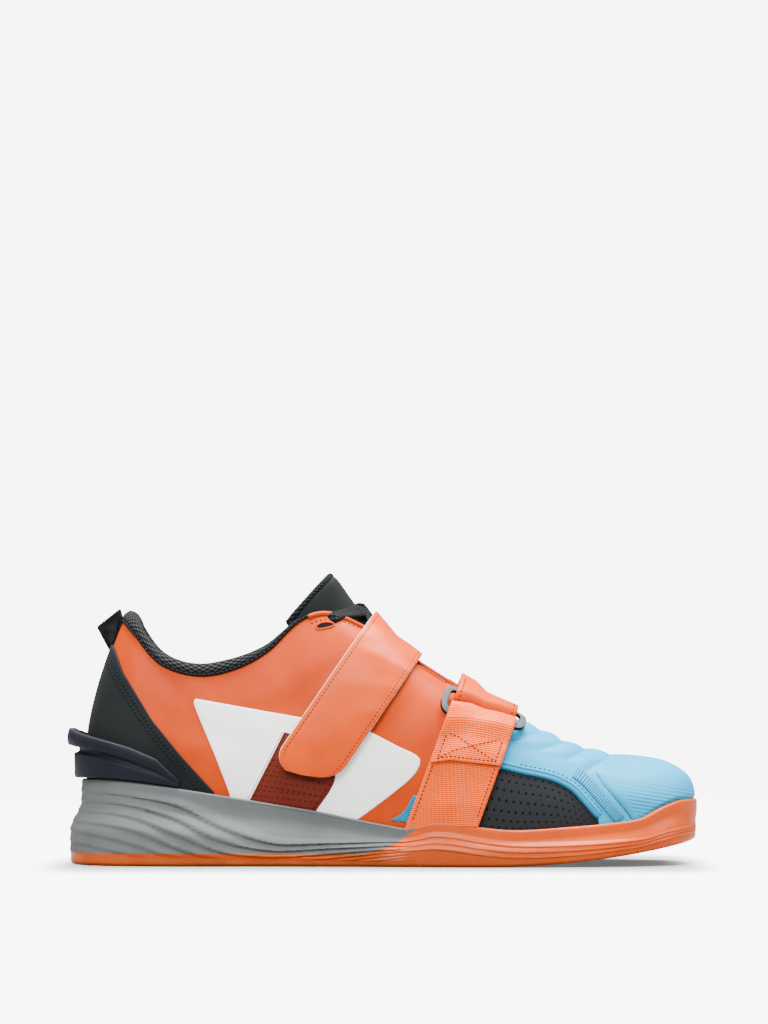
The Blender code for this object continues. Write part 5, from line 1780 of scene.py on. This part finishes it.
def make_instep_strap(trees):
    """Wide leather strap over the instep, its free end rounded and stitched."""
    lean = (math.sin(INSTEP_STRAP_LEAN), 0.0, math.cos(INSTEP_STRAP_LEAN))
    top = Vector((place_x(INSTEP_STRAP_X), 0.0, INSTEP_STRAP_Z * INSTEP_RISE))
    origin = top - Vector(lean) * INSTEP_RISE * 0.62
    wrap = Wrap(origin, lean, (0, 1, 0), trees, INSTEP_STRAP_WIDTH / 2, 5, strap_foot, 136)
    end = wrap.share_at_height(INSTEP_STRAP_END * INSTEP_RISE)
    radius = INSTEP_STRAP_WIDTH * 0.28
    away = np.concatenate([radius * (1 - np.cos(np.linspace(0.02, np.pi / 2, 16))),
                           np.linspace(radius, wrap.length * (1 - end), 170)[1:]])
    halves = rounded_end(away, INSTEP_STRAP_WIDTH / 2, radius)
    height = STRAP_SEAT + STRAP_THICKNESS / 2
    path = np.stack([end * wrap.length + away, np.full(len(away), height)], axis=1)
    loops = strap_loops(wrap, path, halves, STRAP_THICKNESS, strap_face)
    band_piece("instep_strap", loops, "strap", "orange_leather", "backing")
    first = end * wrap.length
    corner = radius - STITCH_INSET
    line = [(INSTEP_STRAP_WIDTH / 2 - STITCH_INSET, wrap.length * 0.985),
            (INSTEP_STRAP_WIDTH / 2 - STITCH_INSET, first + radius)]
    for turn in np.linspace(0.0, np.pi / 2, 8):
        line.append((INSTEP_STRAP_WIDTH / 2 - radius + corner * math.cos(turn),
                     first + radius - corner * math.sin(turn)))
    line = np.concatenate([line, np.array(line[::-1]) * (-1, 1)])
    run = line_on(wrap, line, 500, height + STRAP_THICKNESS / 2 - 0.00015, 0.00115)
    pitch = look().stitch_pitch
    stitches("instep_strap_stitches", [run], pitch, pitch * 0.62, 0.00055, "thread_orange",
             "orange_leather")


def make_fore_strap(trees):
    """Webbing from the rim, the ring, and the strap that is folded back over it."""
    lean = (math.sin(FORE_STRAP_LEAN), 0.0, math.cos(FORE_STRAP_LEAN))
    top = Vector((place_x(FORE_STRAP_X), 0.0, FORE_STRAP_Z * INSTEP_RISE))
    origin = top - Vector(lean) * INSTEP_RISE * 0.55
    wrap = Wrap(origin, lean, (0, 1, 0), trees, RING_LENGTH / 2 + 0.001, 7, strap_foot, 124)
    length = wrap.length
    ring = wrap.share_at_height(RING_HEIGHT * INSTEP_RISE) * length
    bar_gap = (RING_WIDTH - RING_BAR) / 2

    def turn(bar, outward, low, rise):
        radius = rise / 2
        angles = np.pi * (np.arange(9) / 8 - 0.5)
        return [(bar + outward * radius * math.cos(a), low + radius + radius * math.sin(a))
                for a in angles]

    rise = STRAP_THICKNESS + RING_THICKNESS + 2 * GAP
    inner = STRAP_SEAT + STRAP_THICKNESS / 2
    outer = STRAP_SEAT + STRAP_THICKNESS * 1.5 + GAP
    bar = ring + bar_gap
    path = [(length * (1 - j / 12) + (bar + 0.006) * j / 12, inner) for j in range(12)]
    path += [(bar + 0.003, inner)] + turn(bar - RING_BAR / 2, -1.0, inner, rise)
    path += [(bar + 0.004, inner + rise), (bar + 0.009, outer + 0.001)]
    path += [(bar + 0.014 + (FREE_END - 0.014) * j / 4, outer) for j in range(5)]
    flat = smooth_path(path, 260)
    halves = np.full(len(flat), FORE_STRAP_WIDTH / 2)

    loops = strap_loops(wrap, flat, halves, STRAP_THICKNESS, strap_face)
    band_piece("forefoot_strap", loops, "strap", "orange_leather")
    shown = flat[flat[:, 1] > inner + rise * 0.75]
    runs = [path_run(wrap, side, shown, STRAP_THICKNESS / 2 - 0.0001)
            for side in (STITCH_INSET - FORE_STRAP_WIDTH / 2, FORE_STRAP_WIDTH / 2 - STITCH_INSET)]
    # the punched holes are dark beads: painted shade inside them
    stitches("forefoot_strap_holes", runs, 0.0024, 0.0008, 0.0007, "hole", "orange_leather")

    low = STRAP_SEAT + WEBBING_THICKNESS / 2
    rise = STRAP_THICKNESS + RING_THICKNESS + 3 * GAP
    bar = ring - bar_gap
    over = low + WEBBING_THICKNESS + GAP
    path = [(-0.0035 + (bar - 0.0005) * j / 8, low) for j in range(9)]
    path += turn(bar + RING_BAR / 2, 1.0, low, rise)
    path += [(bar - RING_BAR / 2, low + rise), (bar - 0.004, low + rise),
             (bar - 0.008, over + 0.001)]
    path += [(bar - 0.011 - (WEBBING_TURN - 0.011) * j / 2, over) for j in range(3)]
    flat = smooth_path(path, 260)
    halves = np.full(len(flat), WEBBING_WIDTH / 2)

    loops = strap_loops(wrap, flat, halves, WEBBING_THICKNESS, woven_face, across=23)
    band_piece("forefoot_webbing", loops, "nylon", "orange_nylon")

    wide = WEBBING_WIDTH / 2 - 0.0030
    top_edge, low_edge = bar - 0.0095, bar - 0.0205
    cover = over + WEBBING_THICKNESS / 2 + 0.00005
    base = low + WEBBING_THICKNESS / 2 + 0.00005
    box = [(-wide, top_edge), (wide, top_edge), (wide, low_edge), (-wide, low_edge)]
    runs = [line_on(wrap, corners, 160, cover)
            for corners in (box + box[:1], box[0::2], box[1::2])]
    runs += [line_on(wrap, ((side, 0.002), (side, bar - 0.024)), 160, base)
             for side in (-wide - 0.0010, wide + 0.0010)]
    stitches("webbing_stitches", runs, 0.0019, 0.0014, 0.0006, "thread_orange", "orange_nylon")
    make_ring(wrap, ring, STRAP_SEAT + STRAP_THICKNESS + GAP)


def make_ring(wrap, middle, low):
    """Flat ring with round corners and softened edges."""
    corner = RING_WIDTH * 0.36 - RING_BAR / 2
    half_a = (RING_LENGTH - RING_BAR) / 2 - corner
    half_b = (RING_WIDTH - RING_BAR) / 2 - corner
    centre, facing = [], []
    for quarter, (sx, sy) in enumerate(((1, 1), (-1, 1), (-1, -1), (1, -1))):
        for angle in np.radians(90 * quarter + np.linspace(0, 90, 9)):
            out = np.array([math.cos(angle), math.sin(angle)])
            centre.append(np.array([sx * half_a, sy * half_b]) + corner * out)
            facing.append(out)
        if sx == sy:
            for t in np.linspace(0.05, 0.95, 19):
                centre.append(np.array([sx * half_a * (1 - 2 * t), sy * (half_b + corner)]))
                facing.append(np.array([0.0, float(sy)]))
    section = np.array([[(-RING_BAR / 2, -1), (RING_BAR / 2, -1), (RING_BAR / 2, 1),
                         (-RING_BAR / 2, 1)]], float) * (1, RING_THICKNESS / 2)
    section = round_corners(section, 0.0007, 5)[0]
    rows = []
    for place, out in zip(centre, facing):
        spots = place + out * section[:, :1]
        rows.append(wrap.at(spots[:, 0], (middle + spots[:, 1]) / wrap.length,
                            low + RING_THICKNESS / 2 + section[:, 1]))
    rows.append(rows[0])
    piece = loft("ring_buckle", rows, closed=True)
    mend(piece, outwards=True)
    sharpen(piece, 60)
    places = np.array([point.co for point in piece.data.vertices])
    plane = Vector(np.linalg.svd(places - places.mean(axis=0), full_matrices=False)[2][2])
    for face in piece.data.polygons:
        face.material_index = int(abs(face.normal.dot(plane)) < 0.80)
    dressed(piece, "ring", "grey_ring", "ring_buckle", inner="ring_side")


def make_laces():
    """Flat lace, crossed over the tongue, its ends sunk in the slot eyelets."""
    trees = [tree_of("upper"), tree_of("tongue")]
    lean = math.radians(35)
    up = Vector((math.sin(lean), 0.0, math.cos(lean)))
    u = np.linspace(0.02, 0.98, 70)
    sink = LACE_DIP * smooth((0.10 - np.minimum(u, 1 - u)) / 0.08)
    hump = LACE_THICKNESS * np.exp(-((u - 0.5) / 0.12) ** 2)
    for number, (first, second) in enumerate(zip(EYELETS, EYELETS[1:]), 1):
        settle = 0.0 if number == 1 else LACE_SETTLE
        ways = (first + 0.12, second - 0.12)
        for order, (start, end) in enumerate((ways, ways[::-1])):
            a = Vector(skin(start, EYELET_LEVEL))
            b = Vector(skin(LOOP - end, EYELET_LEVEL))
            cross = (b - a).normalized()
            out = (up - cross * up.dot(cross)).normalized()
            middle = (a + b) / 2 - out * (b - a).length / 2
            wrap = Wrap(middle, out, cross, trees, LACE_WIDTH / 2, 3, lambda spot: -1.0, 46)
            height = 2 * GAP + LACE_THICKNESS / 2 + order * hump - sink - settle
            path = np.stack([u * wrap.length, height], axis=1)
            loops = strap_loops(wrap, path, np.full(70, LACE_WIDTH / 2 * 0.92),
                                LACE_THICKNESS, lace_face, across=11)
            piece = loft(f"lace_crossing_{number}_{order + 1}", loops, closed=True, fill=True)
            dressed(piece, "lace", "black_knit", f"lace_crossing_{number}")
    size = np.array([0.02, 0.6, 1.0])[:, None]
    level = EYELET_LEVEL - 0.012
    for side, where in SIDES:
        angle = 2 * np.pi * np.arange(24) / 24 * -side
        for number, k in enumerate(EYELETS, 1):
            k = k if side < 0 else LOOP - k
            # each eyelet slot is a nearly black disc on the skin: painted shade inside the slot
            rows = lifted(k + 0.26 * size * np.cos(angle), level + 0.016 * size * np.sin(angle),
                          np.full((3, 24), 0.0002))
            name = f"eyelet_{where}_{number}"
            dressed(loft(name, rows[::-1], closed=True), "hole", "orange_leather")
            ring = lifted(k + 0.29 * np.cos(angle), level + 0.020 * np.sin(angle),
                          np.full(24, 0.0001))
            ring = np.concatenate([ring, ring[:1]])
            dressed(tube(name + "_edge", ring, 0.00045), "edge", "orange_leather")


def make_throat():
    """Piping and stitching along the throat on both sides."""
    pitch = look().stitch_pitch
    for side, name in SIDES:
        k = np.linspace(7.3, 12.7, 90)
        k = k if side < 0 else LOOP - k
        k = k[skin(k, 0.997)[:, 0] < place_x(0.700)]
        points = skin(k, 0.997) + skin_normal(k, 0.97) * 0.0003
        dressed(tube("throat_piping_" + name, points, 0.0013), "edge", "orange_leather")
        level = np.full(len(k), 0.955)
        run = lifted(k, level, np.full(len(k), THREAD_LIFT)), skin_normal(k, level)
        stitches("throat_stitches_" + name, [run], pitch * 1.2, pitch * 0.7, 0.0005,
                 "thread_orange", "orange_leather")


# The stage


def make_camera():
    """Level camera that looks straight at the lateral side."""
    clear_selection()
    bpy.ops.object.camera_add(location=CAMERA_PLACE, rotation=(math.radians(90.0), 0.0, 0.0))
    camera = bpy.context.object
    camera.data.lens = CAMERA_LENS
    camera.data.sensor_width = 36
    camera.data.shift_y = CAMERA_SHIFT
    camera.data.clip_start = 0.01
    bpy.context.scene.camera = camera


Lamp = namedtuple("Lamp", "name place aim size share colour")
LAMPS = (
    Lamp("key", (-0.5, -1.6, 1.5), (0.0, 0.0, 0.05), (1.2, 1.0), 1.0, (1.0, 0.98, 0.96)),
    Lamp("top", (0.1, 0.2, 1.6), (0.0, 0.0, 0.05), (1.4, 1.0), 2.4, (1.0, 1.0, 1.0)),
    Lamp("side", (1.5, -0.3, 0.8), (0.05, 0.0, 0.05), (0.7, 0.7), 0.15, (0.97, 0.99, 1.0)),
)


def area_light(row):
    """A large lamp; its share is of the key light's power."""
    clear_selection()
    bpy.ops.object.light_add(type="AREA", location=row.place)
    lamp = bpy.context.object
    lamp.name = row.name
    lamp.data.shape = "RECTANGLE"
    lamp.data.size, lamp.data.size_y = row.size
    lamp.data.energy = look().key_light * row.share
    lamp.data.color = row.colour
    aim = Vector(row.aim) - Vector(row.place)
    lamp.rotation_euler = aim.to_track_quat("-Z", "Y").to_euler()


def paper_finish():
    """Lit, glowing paper with a painted shadow: a soft dark line where the sole meets it."""
    finish = Finish("studio_paper", (0.12, 0.12, 0.12), 1.0, specular_ior_level=0.0,
                    emission_color=(1.0, 1.0, 1.0, 1.0))
    parts = finish.add("SeparateXYZ", {"Vector": finish.object})
    x, y = parts.outputs[0], parts.outputs[1]

    def past(place, half):
        far = finish.maths("SUBTRACT", finish.maths("ABSOLUTE", place), half)
        return finish.maths("MAXIMUM", far, 0.0)

    reach = past(finish.maths("ADD", x, 0.002), SHADOW_HALF_LENGTH)
    near = finish.maths("MULTIPLY", past(y, SHADOW_HALF_WIDTH), 0.30)
    away = finish.maths("SQRT", finish.maths("ADD", finish.maths("MULTIPLY", reach, reach),
                                             finish.maths("MULTIPLY", near, near)))
    # painted shadow: the paper's glow fades to dark near the sole's footprint
    dark = finish.maths("MULTIPLY", finish.ramp(away, SHADOW_REACH, 0.0), SHADOW_DEPTH)
    left = finish.maths("POWER", finish.maths("SUBTRACT", 1.0, dark), 3.0)
    glow = finish.maths("MULTIPLY", left, look().paper)
    finish.links.new(glow, finish.shader.inputs["Emission Strength"])
    return finish


def make_stage():
    """Pale sweep, soft sky and three large lights."""
    turn = np.radians(np.linspace(0, 90, 17))
    profile = [(-6.0, 0.0)] + [(3.0 + 1.5 * math.sin(a), 1.5 - 1.5 * math.cos(a)) for a in turn]
    profile.append((4.5, 6.0))
    rows = [[(x, y, z) for x in (-8.0, 8.0)] for y, z in profile]
    floor = loft("studio_sweep", rows)
    floor.data.materials.append(paper_finish().made)
    lit = bpy.data.collections.new("lit_by_paper")
    lit.objects.link(floor)
    floor.light_linking.receiver_collection = lit
    world = bpy.data.worlds.new("studio_sky")
    world.use_nodes = True
    sky = world.node_tree.nodes["Background"].inputs
    sky["Color"].default_value = (1.0, 1.0, 1.0, 1.0)
    sky["Strength"].default_value = look().sky
    bpy.context.scene.world = world
    for row in LAMPS:
        area_light(row)


def look():
    """The values in the sidebar."""
    return bpy.context.scene.shoe_look


class ShoeLook(bpy.types.PropertyGroup):
    stitch_pitch: bpy.props.FloatProperty(
        name="Stitch pitch", description="Distance from stitch to stitch on the straps",
        default=0.0019, min=0.001, max=0.006, unit="LENGTH", precision=4)
    key_light: bpy.props.FloatProperty(
        name="Key light", description="Power of the main studio light in watts",
        default=84.0, min=0.0, max=900.0)
    sky: bpy.props.FloatProperty(
        name="Sky", description="Strength of the even studio light",
        default=1.2, min=0.0, max=9.0)
    paper: bpy.props.FloatProperty(
        name="Paper", description="Glow of the lit background paper",
        default=6.9, min=0.0, max=20.0)


class SHOE_OT_upper(bpy.types.Operator):
    """Builds the lasted shell of the upper"""
    bl_idname = "shoe.upper"
    bl_label = "Upper"

    def execute(self, context):
        make_upper()
        return {"FINISHED"}


class SHOE_OT_overlays(bpy.types.Operator):
    """Builds the heel counter, colour block, strap base and wings"""
    bl_idname = "shoe.overlays"
    bl_label = "Overlays"

    def execute(self, context):
        make_counter()
        make_quarter()
        return {"FINISHED"}


class SHOE_OT_toe(bpy.types.Operator):
    """Builds the toe overlay with its bellows"""
    bl_idname = "shoe.toe"
    bl_label = "Toe overlay"

    def execute(self, context):
        make_toe()
        return {"FINISHED"}


class SHOE_OT_panels(bpy.types.Operator):
    """Builds the perforated side panels, their piping and bands"""
    bl_idname = "shoe.panels"
    bl_label = "Side panels"

    def execute(self, context):
        make_panels()
        return {"FINISHED"}


class SHOE_OT_sole(bpy.types.Operator):
    """Builds the foam wedge, the gum cup and the insole"""
    bl_idname = "shoe.sole"
    bl_label = "Sole"

    def execute(self, context):
        make_sole()
        make_insole()
        return {"FINISHED"}


class SHOE_OT_padding(bpy.types.Operator):
    """Builds the collar roll and the tongue"""
    bl_idname = "shoe.padding"
    bl_label = "Padding"

    def execute(self, context):
        make_collar()
        make_tongue([tree_of("upper"), tree_of("collar_padding")])
        return {"FINISHED"}


class SHOE_OT_heel(bpy.types.Operator):
    """Builds the heel clip and the pull tab"""
    bl_idname = "shoe.heel"
    bl_label = "Heel parts"

    def execute(self, context):
        make_clip()
        make_tab()
        return {"FINISHED"}


class SHOE_OT_laces(bpy.types.Operator):
    """Builds the laces, eyelets and throat piping"""
    bl_idname = "shoe.laces"
    bl_label = "Laces"

    def execute(self, context):
        make_laces()
        make_throat()
        return {"FINISHED"}


class SHOE_OT_straps(bpy.types.Operator):
    """Builds both straps, the webbing and the ring"""
    bl_idname = "shoe.straps"
    bl_label = "Straps"

    def execute(self, context):
        below = ("upper", "collar_padding", "tongue", "heel_counter", "strap_anchor",
                 "side_panel_lateral", "side_panel_medial", "toe_overlay", "lace_crossing_1",
                 "lace_crossing_2", "lace_crossing_3")
        trees = [tree_of(name) for name in below]
        make_instep_strap(trees)
        make_fore_strap(trees)
        return {"FINISHED"}


class SHOE_OT_stage(bpy.types.Operator):
    """Builds the studio floor, the lights and the camera"""
    bl_idname = "shoe.stage"
    bl_label = "Stage"

    def execute(self, context):
        make_stage()
        make_camera()
        return {"FINISHED"}


OPERATORS = (SHOE_OT_upper, SHOE_OT_overlays, SHOE_OT_toe, SHOE_OT_panels, SHOE_OT_sole,
             SHOE_OT_padding, SHOE_OT_heel, SHOE_OT_laces, SHOE_OT_straps, SHOE_OT_stage)


class SHOE_PT_look(bpy.types.Panel):
    bl_label = "Weightlifting shoe"
    bl_space_type = "VIEW_3D"
    bl_region_type = "UI"
    bl_category = "Shoe"

    def draw(self, context):
        layout = self.layout
        for name in ("stitch_pitch", "key_light", "sky", "paper"):
            layout.prop(context.scene.shoe_look, name)
        for operator in OPERATORS:
            layout.operator(operator.bl_idname)


CLASSES = (ShoeLook, *OPERATORS, SHOE_PT_look)


def register():
    for cls in CLASSES:
        bpy.utils.register_class(cls)
    bpy.types.Scene.shoe_look = bpy.props.PointerProperty(type=ShoeLook)


def unregister():
    del bpy.types.Scene.shoe_look
    for cls in reversed(CLASSES):
        bpy.utils.unregister_class(cls)


def main():
    register()
    build_finishes()
    bpy.ops.shoe.straps()
    bpy.ops.shoe.laces()
    bpy.ops.shoe.padding()
    bpy.ops.shoe.upper()
    bpy.ops.shoe.overlays()
    bpy.ops.shoe.toe()
    bpy.ops.shoe.panels()
    bpy.ops.shoe.sole()
    bpy.ops.shoe.heel()
    bpy.ops.shoe.stage()


if __name__ == "__main__":
    main()
